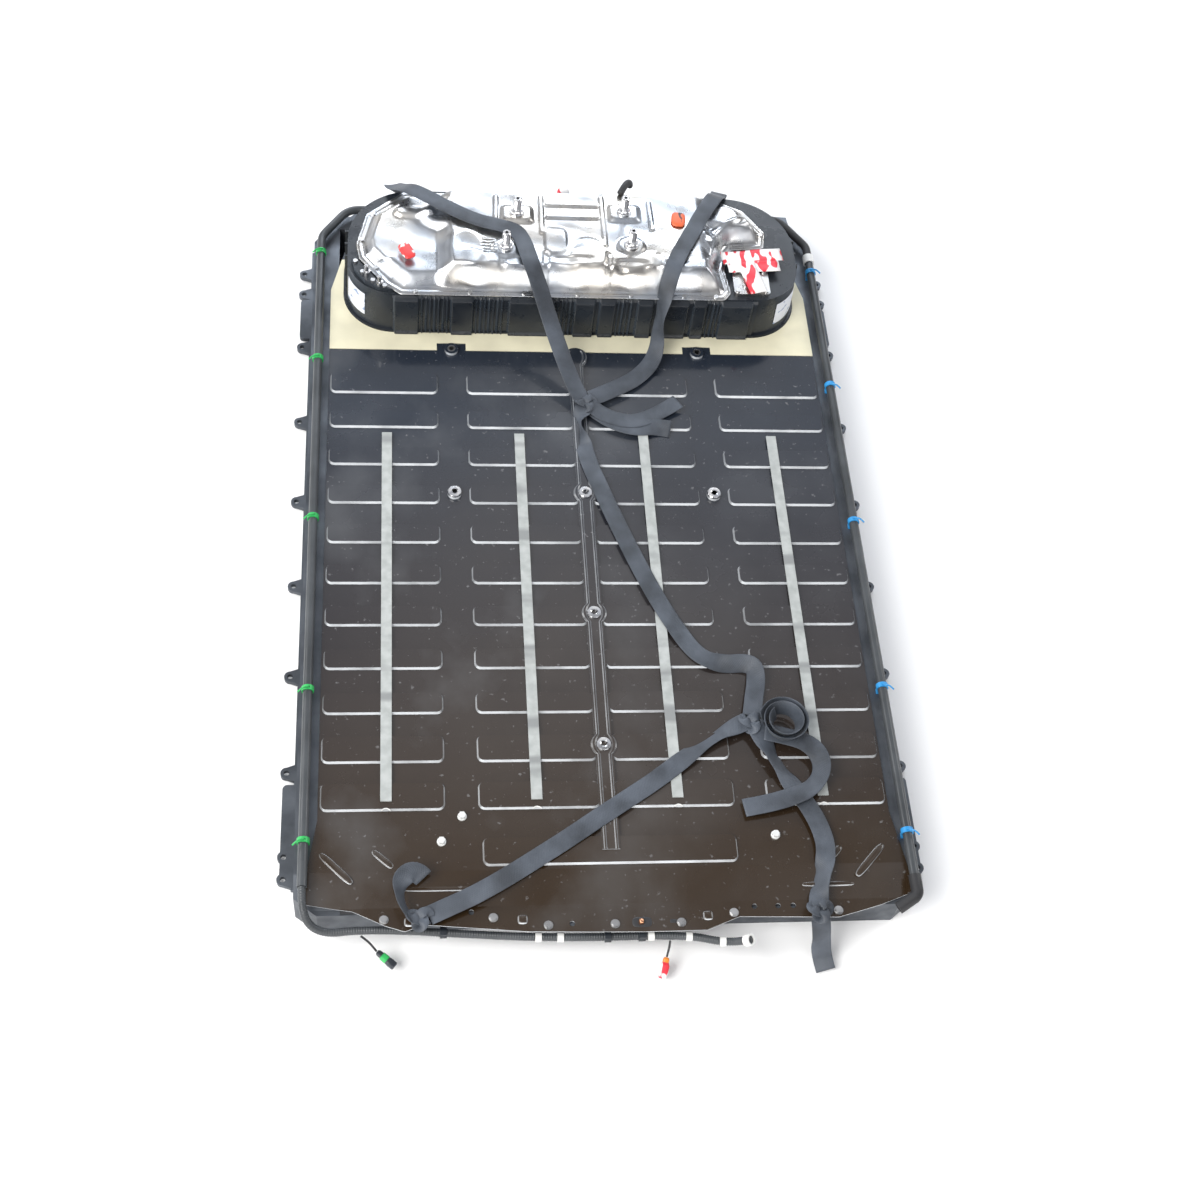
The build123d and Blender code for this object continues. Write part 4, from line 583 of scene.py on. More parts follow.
def add_pigtail(colour, route):
    """A thin sleeved lead, smooth along its route."""
    curve = bpy.data.curves.new(f"lead_{colour}", "CURVE")
    curve.dimensions = "3D"
    curve.bevel_depth = PIGTAIL_DIAMETER / 2
    curve.bevel_resolution = 4
    spline = curve.splines.new("NURBS")
    spline.points.add(len(route) - 1)
    for point, place in zip(spline.points, route):
        point.co = (*place, 1)
    spline.order_u = 3
    spline.use_endpoint_u = True
    spline.resolution_u = 12
    lead = bpy.data.objects.new(f"lead_{colour}", curve)
    bpy.context.scene.collection.objects.link(lead)
    curve.materials.append(MATERIALS["black_rubber"])
    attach(lead, "pack")
    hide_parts(f"pigtail_{colour}")
    line = nurbs_points(route, 200)


for lead_colour, lead_route in PIGTAILS.items():
    lead_plug = add_plug(lead_colour, Vector(lead_route[-1]), Vector(lead_route[-2]))
    add_pigtail(lead_colour, lead_route)

# ---- Lashing straps ----
REST = STRIP_TOP + 2.0 * MM
ON_BEADS = BEAD_TOP + 2.5 * MM
OVER = COVER_TOP + 3.0 * MM


def strap_points(points):
    """Millimetres across and along, and a height in metres, as vectors."""
    return [Vector((x * MM, y * MM, z)) for x, y, z in points]


STRAPS = {
    "rear_left": (
        [
            (-422, 1052, 0.036), (-424, 1050, 0.062), (-436, 1040, 0.110), (-462, 1030, 0.170),
            (-476, 1000, 0.222), (-482, 972, BASE_TOP + 0.012), (-470, 950, OVER - 0.050),
            (-440, 905, OVER - 0.006), (-400, 872, OVER + 0.004), (-330, 826, OVER), (-262, 786, OVER),
            (-205, 770, OVER), (-160, 754, OVER + 0.002), (-143, 718, OVER + 0.002),
            (-132, 670, OVER + 0.004), (-124, 630, OVER + 0.006), (-106, 590, OVER - 0.022),
            (-78, 520, OVER - 0.076), (-46, 440, REST + 0.072), (-8, 362, REST + 0.018),
            (8, 338, REST + 0.012),
        ],
        (),
    ),
    "rear_right": (
        [
            (421, 1052, 0.036), (421, 1050, 0.062), (421, 1040, 0.110), (420, 1030, 0.170),
            (418, 1000, 0.222), (412, 974, BASE_TOP + 0.012), (402, 946, OVER - 0.050),
            (386, 905, OVER - 0.006), (366, 868, OVER + 0.004), (336, 818, OVER), (300, 745, OVER),
            (270, 690, OVER), (250, 640, OVER + 0.004), (234, 600, OVER - 0.024),
            (222, 566, OVER - 0.078), (214, 540, OVER - 0.130), (214, 505, REST + 0.030),
            (196, 460, REST + 0.012), (150, 410, REST + 0.010), (92, 374, REST + 0.012),
            (30, 342, REST + 0.012),
        ],
        ((0.66, 55, 0.1), (0.78, -70, 0.12)),
    ),
    "middle": (
        [
            (10, 316, REST + 0.014), (0, 290, REST + 0.008), (-4, 238, REST + 0.002), (14, 142, REST),
            (40, 60, REST), (62, -10, REST), (96, -110, REST), (130, -205, REST), (165, -290, REST),
            (192, -345, ON_BEADS + 0.002), (222, -400, ON_BEADS), (252, -434, ON_BEADS + 0.002),
            (300, -452, ON_BEADS + 0.004), (345, -450, REST + 0.006), (370, -462, REST + 0.010),
            (370, -500, REST + 0.006), (358, -550, REST + 0.004), (348, -596, REST + 0.012),
        ],
        ((0.035, 90, 0.05), (0.1, -90, 0.07), (0.79, 35, 0.06), (0.9, -35, 0.06)),
    ),
    "front_left": (
        [
            (338, -608, REST + 0.012), (306, -622, REST + 0.008), (262, -643, REST + 0.002),
            (200, -684, REST), (121, -747, REST), (50, -795, REST), (-21, -842, REST),
            (-90, -890, REST), (-159, -935, REST), (-235, -982, REST - 0.004),
            (-300, -1016, REST - 0.012), (-350, -1038, FLANGE_TOP + 0.016),
            (-402, -1060, FLANGE_TOP + 0.012),
        ],
        ((0.06, 40, 0.08), (0.18, -40, 0.12)),
    ),
    "front_right": (
        [
            (352, -622, REST + 0.012), (374, -672, REST + 0.008), (392, -712, REST + 0.002),
            (414, -756, REST), (440, -796, REST), (462, -840, REST), (476, -882, REST),
            (481, -924, REST + 0.002), (474, -962, REST), (462, -1000, REST - 0.010),
            (452, -1040, FLANGE_TOP + 0.014), (450, -1062, FLANGE_TOP + 0.016),
        ],
        ((0.12, -35, 0.1), (0.3, 35, 0.12), (0.78, 40, 0.12), (0.93, -30, 0.08)),
    ),
}
for strap_name, (strap_line, strap_twists) in STRAPS.items():
    strap = ribbon(
        f"webbing_{strap_name}",
        strap_points(strap_line),
        strap_twists,
    )
    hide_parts(f"strap_{strap_name}")

TAILS = {
    "webbing_tail_rear": (
        [
            (24, 322, REST + 0.012), (52, 302, REST + 0.004), (92, 284, REST + 0.002),
            (135, 276, REST + 0.002), (180, 290, REST + 0.003), (222, 314, REST + 0.006),
            (258, 338, REST + 0.010),
        ],
        (),
    ),
    "webbing_tail_rear_under": (
        [
            (26, 318, REST + 0.006), (60, 288, REST + 0.001), (105, 262, REST), (150, 252, REST),
            (196, 262, REST), (232, 252, REST + 0.001),
        ],
        ((0.8, 30, 0.3),),
    ),
    "webbing_tail_right": (
        [
            (372, -640, REST + 0.016), (420, -650, REST + 0.012), (470, -668, REST + 0.014),
            (496, -706, REST + 0.016), (492, -752, REST + 0.018), (462, -788, REST + 0.014),
            (410, -806, REST + 0.008), (352, -819, REST + 0.003), (306, -826, REST + 0.001),
        ],
        ((0.3, 30, 0.3), (0.6, -30, 0.3)),
    ),
    "webbing_tail_hanging": (
        [
            (452, -1086, FLANGE_TOP + 0.010), (456, -1108, FLANGE_TOP - 0.010),
            (460, -1122, FLANGE_TOP - 0.050), (463, -1132, 0.030), (468, -1146, 0.015),
            (472, -1168, 0.012),
        ],
        ((0.5, 25, 0.4),),
    ),
    "webbing_bow": (
        [
            (-436, -1070, FLANGE_TOP + 0.014), (-452, -1052, FLANGE_TOP + 0.024),
            (-464, -1024, FLANGE_TOP + 0.036), (-462, -996, FLANGE_TOP + 0.048),
            (-446, -978, FLANGE_TOP + 0.056), (-424, -976, FLANGE_TOP + 0.052),
            (-412, -986, FLANGE_TOP + 0.042),
        ],
        ((-0.2, 62, 0.3), (0.55, -34, 0.3)),
    ),
}
for tail_name, (tail_points, tail_twists) in TAILS.items():
    tail = ribbon(tail_name, strap_points(tail_points), tail_twists)
    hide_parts("strap_tails")


def knot_points(centre, size, turns=1.0, phase=0.0):
    """A closed over-and-under loop, drawn in tight."""
    points = []
    steps = 26
    for step in range(int(steps * turns) + 1):
        t = 2 * math.pi * step / steps + phase
        x = (math.sin(t) + 1.6 * math.sin(2 * t)) * size[0]
        y = (math.cos(t) - 1.6 * math.cos(2 * t)) * size[1]
        z = -math.sin(3 * t) * size[2]
        points.append(Vector(centre) + Vector((x, y, z)))
    return points


KNOT_SIZE = (9 * MM, 8 * MM, 7 * MM)
KNOTS = {
    "knot_rear": ((0.016, 0.326, REST + 0.013), 0.3),
    "knot_right": ((0.345, -0.614, REST + 0.013), 1.2),
    "knot_front_left": ((-0.420, -1.068, FLANGE_TOP + 0.018), 0.8),
    "knot_front_right": ((0.452, -1.070, FLANGE_TOP + 0.018), 2.1),
}
for knot_name, (knot_centre, knot_phase) in KNOTS.items():
    knot = ribbon(
        knot_name,
        knot_points(knot_centre, KNOT_SIZE, 0.97, knot_phase),
        width=STRAP_WIDTH / 2,
        step=0.003,
    )
    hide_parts("strap_knots")


def coil_points(centre, start_radius, end_radius, turns, rise):
    """A loose roll, turning inwards."""
    points = []
    steps = int(14 * turns)
    for step in range(steps + 1):
        share = step / steps
        turn = -2 * math.pi * turns * share + math.pi * 0.9
        radius = start_radius + (end_radius - start_radius) * share
        place = Vector((radius * math.cos(turn), radius * math.sin(turn), rise * share))
        points.append(Vector(centre) + place)
    return points


coil = ribbon(
    "webbing_coil",
    coil_points((0.418, -0.622, REST + 0.024), 0.054, 0.030, 2.1, 0.004),
    twists=((-1.0, 68, 0.1),),
    width=40 * MM,
)
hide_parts("strap_knots")


# ---- Front line with its corrugated sleeve ----
PIPE_Z = (low("coolant_pipe_right").z + high("coolant_pipe_right").z) / 2
PIPE_X = (low("coolant_pipe_right").x + high("coolant_pipe_right").x) / 2
PIPE_FRONT = low("coolant_pipe_right").y
LINE_ROUTE = [
    (-PIPE_X, PIPE_FRONT, PIPE_Z), (-PIPE_X, MODULE_FRONT - 0.052, PIPE_Z - 0.004),
    (-0.656, MODULE_FRONT - 0.082, LINE_Z + 0.026), (-0.618, MODULE_FRONT - 0.092, LINE_Z + 0.004),
    (-0.560, MODULE_FRONT - 0.084, LINE_Z), (-0.462, MODULE_FRONT - 0.086, LINE_Z),
    (-0.334, MODULE_FRONT - 0.097, LINE_Z), (-0.205, MODULE_FRONT - 0.107, LINE_Z),
    (-0.060, MODULE_FRONT - 0.112, LINE_Z), (0.090, MODULE_FRONT - 0.111, LINE_Z),
    (0.175, MODULE_FRONT - 0.115, LINE_Z), (0.228, MODULE_FRONT - 0.128, LINE_Z),
    (0.268, MODULE_FRONT - 0.130, LINE_Z), (0.292, MODULE_FRONT - 0.138, LINE_Z + 0.030),
]
front_line = tube(
    "corrugated_line",
    LINE_ROUTE,
    8.6 * MM,
    "pipe_plastic",
    step=0.0011,
    ripple=0.5 * MM,
    pitch=0.0055,
    sides=20,
)
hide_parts("front_line")


# ---- Formed aluminium cover ----
COVER_OUTLINE = [
    (-458, -2), (388, -2), (408, 25), (397, 105), (416, 177), (512, 187), (522, 245), (470, 325),
    (395, 365), (-450, 365), (-548, 280), (-574, 170), (-566, 122), (-500, 30),
]
COVER_CORNER = 15.0
SHEET = 2.0 * MM


def rounded_polygon(points, radius, steps=6):
    """The outline with each corner rounded, as an array of points."""
    result = []
    count = len(points)
    for index in range(count):
        before = Vector(points[index - 1])
        here = Vector(points[index])
        after = Vector(points[(index + 1) % count])
        back, on = (before - here).normalized(), (after - here).normalized()
        half = math.acos(max(-1, min(1, back.dot(on)))) / 2
        reach = radius / math.tan(half)
        start, end = here + back * reach, here + on * reach
        for step in range(steps + 1):
            t = step / steps
            result.append(start.lerp(here, t).lerp(here.lerp(end, t), t))
    return np.array([(p.x, p.y) for p in result])


def edge_distance(points, outline):
    """Signed distance inside an outline, and the nearest point on it."""
    starts = outline
    ends = np.roll(outline, -1, axis=0)
    runs = ends - starts
    best = np.full(len(points), 1e9)
    nearest = np.zeros_like(points)
    inside = np.zeros(len(points), bool)
    for start, end, run in zip(starts, ends, runs):
        share = np.clip(((points - start) @ run) / max(run @ run, 1e-12), 0, 1)
        foot = start + share[:, None] * run
        gap = np.hypot(*(points - foot).T)
        closer = gap < best
        best[closer] = gap[closer]
        nearest[closer] = foot[closer]
        crosses = (start[1] > points[:, 1]) != (end[1] > points[:, 1])
        if end[1] != start[1]:
            at = start[0] + (points[:, 1] - start[1]) * (end[0] - start[0]) / (end[1] - start[1])
            inside ^= crosses & (points[:, 0] < at)
    return np.where(inside, best, -best), nearest


def smooth(value, start, end):
    """A rise from 0 to 1 between two values, eased at both ends."""
    t = np.clip((value - start) / (end - start), 0, 1)
    return t * t * (3 - 2 * t)


def hill(x, y, cx, cy, rx, ry, power=2.0):
    """A rounded rise of height one."""
    gap = (np.abs((x - cx) / rx) ** power + np.abs((y - cy) / ry) ** power) ** (1 / power)
    return 1 - smooth(gap, 0.6, 1.0)


def groove(x, y, x0, y0, x1, y1, width):
    """A line of height one along a segment, fading to each side."""
    run = np.array([x1 - x0, y1 - y0])
    share = np.clip(((x - x0) * run[0] + (y - y0) * run[1]) / (run @ run), 0, 1)
    gap = np.hypot(x - x0 - share * run[0], y - y0 - share * run[1])
    return 1 - smooth(gap, width * 0.3, width)


POSTS = [(-154, 235), (131, 247), (-187, 112), (143, 128)]


def cover_height(x, y, inset):
    """Height of the formed sheet above its flange, all in millimetres."""
    full = (COVER_TOP - COVER_FLOOR) / MM - 2.5
    body = np.full_like(x, full - 9.0)
    ridge_back = 96 + 10 * np.sin(x / 60) + 8 * np.sin(x / 27 + 1.0)
    ridge = smooth(x, -330, -270) * (1 - smooth(x, 280, 345))
    ridge *= 1 - smooth(y, ridge_back - 14, ridge_back + 14)
    body += 5.0 * ridge
    for step_x, drop in ((-203, 2.5), (-90, 4.0), (74, 4.5), (203, 3.0)):
        body -= drop * groove(x, y, step_x, -10, step_x + 8, 95, 13)
    body -= 3.5 * hill(x, y, -150, 70, 46, 16, 4.0) + 4.5 * hill(x, y, 140, 62, 50, 20, 4.0)
    body -= 4.0 * hill(x, y, -10, 74, 60, 14, 5.0) + 3.0 * hill(x, y, 262, 66, 40, 18, 4.0)
    body += 5.0 * hill(x, y, 30, 100, 64, 70) + 5.0 * hill(x, y, -290, 110, 60, 90)
    body += 4.0 * hill(x, y, 235, 130, 50, 110) + 5.0 * hill(x, y, -55, 140, 36, 60, 5.0)
    left = smooth(-x, 318, 372)
    body -= 30.0 * left * (1 - 0.55 * hill(x, y, -330, 250, 90, 60))
    body += 10.0 * groove(x, y, -455, 262, -380, 262, 26) * left
    right = smooth(x, 322, 372)
    body -= 16.0 * right
    body += 12.0 * hill(x, y, 350, 62, 34, 42) * right + 9.0 * hill(x, y, 392, 262, 70, 46) * right
    body += 7.0 * groove(x, y, 380, 120, 330, 200, 30) + 6.0 * groove(x, y, 460, 250, 350, 180, 22)
    for px, py in POSTS:
        pad = hill(x, y, px, py, 50, 36, 6.0) if py > 200 else hill(x, y, px, py, 44, 40)
        body = body * (1 - pad) + (full - 0.5 if py > 200 else full - 1.0) * pad
    for row in (229, 273):
        body += 4.5 * groove(x, y, -72, row, 58, row, 9)
    for fold in ((-90, 172, -88, 300), (75, 130, 73, 305), (-211, 200, -207, 300), (203, 190, 200, 290)):
        body += 4.0 * groove(x, y, *fold, 9)
    for fold in ((-410, 340, -215, 345), (215, 342, 360, 340), (-60, 338, 50, 340)):
        body += 4.0 * groove(x, y, *fold, 10)
    for louvre in range(5):
        row = 98 + 11 * louvre
        body += 3.0 * groove(x, y, -246, row, -216, row + 3, 4.5)
    front = 1 - smooth(y, 60, 120)
    crumple = 1.2 * np.sin(x / 21 + y / 33) * np.sin(y / 26 - x / 57)
    body += crumple * (1 - front) * (1 - hill(x, y, 0, 250, 260, 60, 6.0))
    bays = (5.0 * np.abs(np.sin(x / 42.0)) + 2.0 * np.sin(x / 13.0)) * front
    slope = np.where(y < 100, 46.0, 34.0) + bays
    rise = smooth(inset, 14.0, 14.0 + slope)
    rim = 2.4 * (smooth(inset, 5, 8) - smooth(inset, 10, 14))
    height = np.minimum(body, full) * rise + rim
    return np.clip(height, 0.0, full)


def add_cover():
    """The cover as one thin formed sheet, cut to its outline."""
    outline = rounded_polygon(COVER_OUTLINE, COVER_CORNER)
    step = 3.0
    xs = np.arange(outline[:, 0].min() - step, outline[:, 0].max() + 2 * step, step)
    ys = np.arange(outline[:, 1].min() - step, outline[:, 1].max() + 2 * step, step)
    grid_x, grid_y = np.meshgrid(xs, ys)
    flat = np.column_stack([grid_x.ravel(), grid_y.ravel()])
    inset, nearest = edge_distance(flat, outline)
    outside = inset < 0
    flat[outside] = nearest[outside]
    kept = inset > -step * 1.42
    height = cover_height(flat[:, 0], flat[:, 1], np.maximum(inset, 0))
    columns = len(xs)
    faces = []
    for row in range(len(ys) - 1):
        for column in range(columns - 1):
            a = row * columns + column
            quad = (a, a + 1, a + 1 + columns, a + columns)
            if all(kept[k] for k in quad) and any(inset[k] > 0 for k in quad):
                faces.append(quad)
    used = sorted({k for face in faces for k in face})
    where = {k: i for i, k in enumerate(used)}
    top = [
        Vector((flat[k, 0] * MM, HOUSING_FRONT + flat[k, 1] * MM, COVER_FLOOR + 2.5 * MM + height[k] * MM))
        for k in used
    ]
    faces = [tuple(where[k] for k in face) for face in faces]
    cover = add_mesh("formed_cover", top, faces, "formed_aluminium")
    bpy.context.view_layer.objects.active = cover
    weld = cover.modifiers.new("weld", "WELD")
    weld.merge_threshold = 0.0004
    thick = cover.modifiers.new("thick", "SOLIDIFY")
    thick.thickness = SHEET
    thick.offset = -1
    depsgraph = bpy.context.evaluated_depsgraph_get()
    made = bpy.data.meshes.new_from_object(cover.evaluated_get(depsgraph))
    cover.modifiers.clear()
    cover.data = made
    made.polygons.foreach_set("use_smooth", [True] * len(made.polygons))
    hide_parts("housing_cover")
    return cover


add_cover()


# ---- Tags, labels and tape ----
def patch(name, corners, slot, material, rows=6, columns=10, lift=None):
    """A thin four-cornered patch; lift(u, v) gives each point's rise in metres."""
    points, faces, uv = [], [], []
    a, b, c, d = [Vector(corner) for corner in corners]
    for row in range(rows + 1):
        v = row / rows
        for column in range(columns + 1):
            u = column / columns
            point = a.lerp(b, u).lerp(d.lerp(c, u), v)
            if lift:
                point.z += lift(u, v)
            points.append(point)
            uv.append((u, v))
    width = columns + 1
    under = len(points)
    points += [point - Vector((0, 0, 0.0006)) for point in points]
    uv += uv
    for row in range(rows):
        for column in range(columns):
            p = row * width + column
            faces.append((p, p + 1, p + 1 + width, p + width))
            faces.append((under + p, under + p + width, under + p + 1 + width, under + p + 1))
    rim = list(range(width)) + [r * width + columns for r in range(1, rows + 1)]
    rim += [rows * width + c for c in range(columns - 1, -1, -1)]
    rim += [r * width for r in range(rows - 1, 0, -1)]
    for p, q in zip(rim, rim[1:] + rim[:1]):
        faces.append((p, under + p, under + q, q))
    return add_mesh(name, points, faces, slot, uv, material=material)


def crinkle(u, v):
    """The small waves of a strip of tape, in metres."""
    return 0.0016 * math.sin(9 * u + 2 * v) * math.sin(7 * v)


TAPE_Z = high("service_cover").z + 0.003
for index, (start, end, half) in enumerate((
    ((0.392, 0.722), (0.556, 0.742), 0.022),
    ((0.405, 0.690), (0.545, 0.700), 0.020),
    ((0.455, 0.700), (0.480, 0.600), 0.024),
)):
    along = Vector((end[0] - start[0], end[1] - start[1], 0)).normalized()
    side = Vector((-along.y, along.x, 0)) * half
    lift_z = TAPE_Z + 0.001 * index
    first, last = Vector((*start, lift_z)), Vector((*end, lift_z))
    patch(
        f"warning_tape_{index + 1}",
        (first - side, last - side, last + side, first + side),
        "white_tape",
        WARNING_TAPE,
        lift=crinkle,
    )
TAGS = (
    ("tag_red", (-0.442, 0.697, COVER_FLOOR + 0.042), (0.017, 0.028), 0.45, RED_TAG),
    ("tag_orange", (0.276, 0.812, COVER_FLOOR + 0.0625), (0.019, 0.026), -0.1, ORANGE_TAG),
)
for tag_name, tag_place, tag_size, tag_tilt, tag_look in TAGS:
    dome(tag_name, tag_place, tag_size, "white_tape", tag_tilt, 0.006, material=tag_look)

BASE_CORNER = 0.125
BASE_HALF = 0.600
BASE_DRAFT = math.tan(math.radians(2.0))
LABEL_COLUMNS = 12
LABEL_LEVELS = (LID_TOP + 0.030, LID_TOP + 0.105)


def add_label(name, side, start, end):
    """A blank label wrapped on a front corner of the base, from one angle to another."""
    points, faces, uv = [], [], []
    centre_x = side * (BASE_HALF - BASE_CORNER)
    for row, level in enumerate(LABEL_LEVELS):
        radius = BASE_CORNER - (level - LID_TOP) * BASE_DRAFT + 0.0012
        for column in range(LABEL_COLUMNS + 1):
            turn = math.radians(start + (end - start) * column / LABEL_COLUMNS)
            y = HOUSING_FRONT + BASE_CORNER + radius * math.sin(turn)
            points.append((centre_x + radius * math.cos(turn), y, level))
            uv.append((column / LABEL_COLUMNS, float(row)))
    for a in range(LABEL_COLUMNS):
        faces.append((a, a + 1, a + 2 + LABEL_COLUMNS, a + 1 + LABEL_COLUMNS))
    add_mesh(name, points, faces, "white_tape", uv, material=LABEL)


add_label("label_left", -1, 196, 232)
add_label("label_right", 1, 300, 342)

# ---- Cable ties on the pipe clips ----
CLIP_CENTRES = {
    "green": [0.840, 0.467, -0.035, -0.515, -0.893],
    "blue": [0.803, 0.394, -0.038, -0.519, -0.893],
}
for tie_colour, tie_rows in CLIP_CENTRES.items():
    tie_side = -1 if tie_colour == "green" else 1
    for index, tie_y in enumerate(tie_rows):
        base = Vector((tie_side * PIPE_X, tie_y, PIPE_Z + 0.012))
        tube(
            f"tie_{tie_colour}_{index + 1}",
            [
                base + Vector((-0.004 * tie_side, 0, 0.002)),
                base + Vector((0.004 * tie_side, -0.004, 0.008)),
                base + Vector((0.014 * tie_side, -0.010, 0.010)),
                base + Vector((0.022 * tie_side, -0.016, 0.004)),
            ],
            2.0 * MM,
            f"{tie_colour}_plastic",
            sides=8,
        )

# ---- Pressed marks on the lid ----
MARK_Z = LID_TOP - 0.001
SLOT_Z = FLANGE_TOP + 0.0075
DOME_Z = FLANGE_TOP - 0.001
for index, (mark_x, mark_y, mark_size, mark_tilt) in enumerate((
    (-0.600, -0.950, (0.050, 0.009), -0.80),
    (-0.500, -0.930, (0.030, 0.008), -0.75),
    (0.580, -0.952, (0.052, 0.009), 0.82),
    (0.500, -0.936, (0.026, 0.008), 0.80),
)):
    dome(f"pressed_mark_{index + 1}", (mark_x, mark_y, MARK_Z), mark_size, "lid_paint", mark_tilt, 0.004)
for index, (mark_x, mark_y, mark_size) in enumerate((
    (-0.365, -0.997, (0.098, 0.006)),
    (0.480, -1.003, (0.060, 0.006)),
)):
    dome(f"pressed_slot_{index + 1}", (mark_x, mark_y, SLOT_Z), mark_size, "lid_paint", height=0.004)
for index, mark_x in enumerate((-0.443, -0.200, 0.205)):
    dome(f"flange_dome_{index + 1}", (mark_x, -1.068, DOME_Z), (0.011, 0.011), "lid_paint", height=0.005)
FLANGE_PIECES = {
    "stud_pad": ((0.059, -1.080, FLANGE_TOP - 0.0005), (0.022, 0.012), "black_rubber", 0.002),
    "ground_stud": ((0.057, -1.080, FLANGE_TOP), (0.006, 0.006), "copper", 0.010),
    "flange_slot": ((0.128, -1.079, FLANGE_TOP - 0.001), (0.009, 0.005), "black_rubber", 0.0016),
}
for piece_name, (piece_place, piece_size, piece_slot, piece_height) in FLANGE_PIECES.items():
    dome(piece_name, piece_place, piece_size, piece_slot, height=piece_height)

# ---- Centre rib, sleeve washers and posts ----
RIB_TOP = high("through_sleeves").z
SLEEVE_YS = (0.0518, -0.3034, -0.6586)
RIB_REAR, RIB_FRONT = 0.515, -0.919


def add_rib_crown():
    """The rib's pressed crown: two raised lips with a shallow channel, swelling round each sleeve."""
    lip = ((0.54, 1.4), (0.7, 3.6), (0.86, 3.4), (1.0, 1.0), (1.0, -6.0))
    profile = tuple((-across, rise) for across, rise in lip[::-1]) + lip
    points, faces = [], []
    rows = 360
    for row in range(rows + 1):
        y = RIB_REAR + (RIB_FRONT - RIB_REAR) * row / rows
        half = 0.0165
        for sleeve_y in SLEEVE_YS + (0.495,):
            reach = 0.030 ** 2 - (y - sleeve_y) ** 2
            if reach > 0:
                half = max(half, math.sqrt(reach))
        for across, rise in profile:
            points.append((across * half, y, RIB_TOP - 0.001 + rise * MM))
    width = len(profile)
    for row in range(rows):
        for k in range(width - 1):
            a = row * width + k
            faces.append((a, a + width, a + width + 1, a + 1))
    add_mesh("rib_crown", points, faces, "lid_paint", smooth=False)


add_rib_crown()
WASHER = ((6.6, 1.0), (6.6, 4.2), (9.0, 5.2), (15.5, 4.6), (17.0, 3.0), (17.0, -2.0))
WASHER += ((10.6, -2.0), (10.6, 1.0))
WASHER_PLACES = [(0, y) for y in SLEEVE_YS] + [(-0.326, SLEEVE_YS[0]), (0.326, SLEEVE_YS[0])]
for index, (washer_x, washer_y) in enumerate(WASHER_PLACES):
    lathe(f"sleeve_washer_{index + 1}", (washer_x, washer_y, RIB_TOP), WASHER, "bright_plating")

POST_PROFILE = [(0.4, 25), (4.2, 25), (4.2, 50), (8.4, 50), (10.6, 48.5)]
POST_PROFILE += [(10.6 + 0.5 * (-1) ** step, 46.5 - 1.2 * step) for step in range(26)]
POST_PROFILE += [(11, 14), (15.5, 13), (16.5, 11), (16.5, 5), (19.5, 4.4), (20, 3), (20, 0), (0.4, 0)]
for index, (post_x, post_y) in enumerate(((-154, 820), (131, 832), (-187, 697), (143, 713))):
    post = lathe(f"post_{index + 1}", (post_x * MM, post_y * MM, COVER_TOP), POST_PROFILE, "bright_plating")
    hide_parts("lifting_posts")
STUD_PROFILE = ((0.4, 0), (9, 0), (9, 7), (6, 8), (6, 26), (4.5, 28), (0.4, 28))
for index, (stud_x, stud_y) in enumerate(((-0.512, 0.612), (-0.545, 0.648))):
    stud_place = (stud_x, stud_y, BASE_TOP + 0.012)
    lathe(f"platform_stud_{index + 1}", stud_place, STUD_PROFILE, "bright_plating", 20)
taped_place = (-0.020, 0.956, BASE_TOP + 0.001)
dome("rear_taped_plug", taped_place, (0.017, 0.011), "white_tape", 0.2, 0.028, material=WARNING_TAPE)
tube(
    "rear_strap_end",
    [
        (0.126, 0.900, COVER_TOP - 0.002),
        (0.140, 0.926, COVER_TOP + 0.006),
        (0.156, 0.950, COVER_TOP - 0.006),
        (0.160, 0.966, COVER_TOP - 0.034),
    ],
    0.009,
    "black_rubber",
)

# ---- Front relief of the housing's base ----
PANELS = ((-478, -410), (-330, -268), (-180, -56), (-8, 50), (58, 104), (158, 204), (212, 298))
PANELS += ((306, 346), (381, 468))


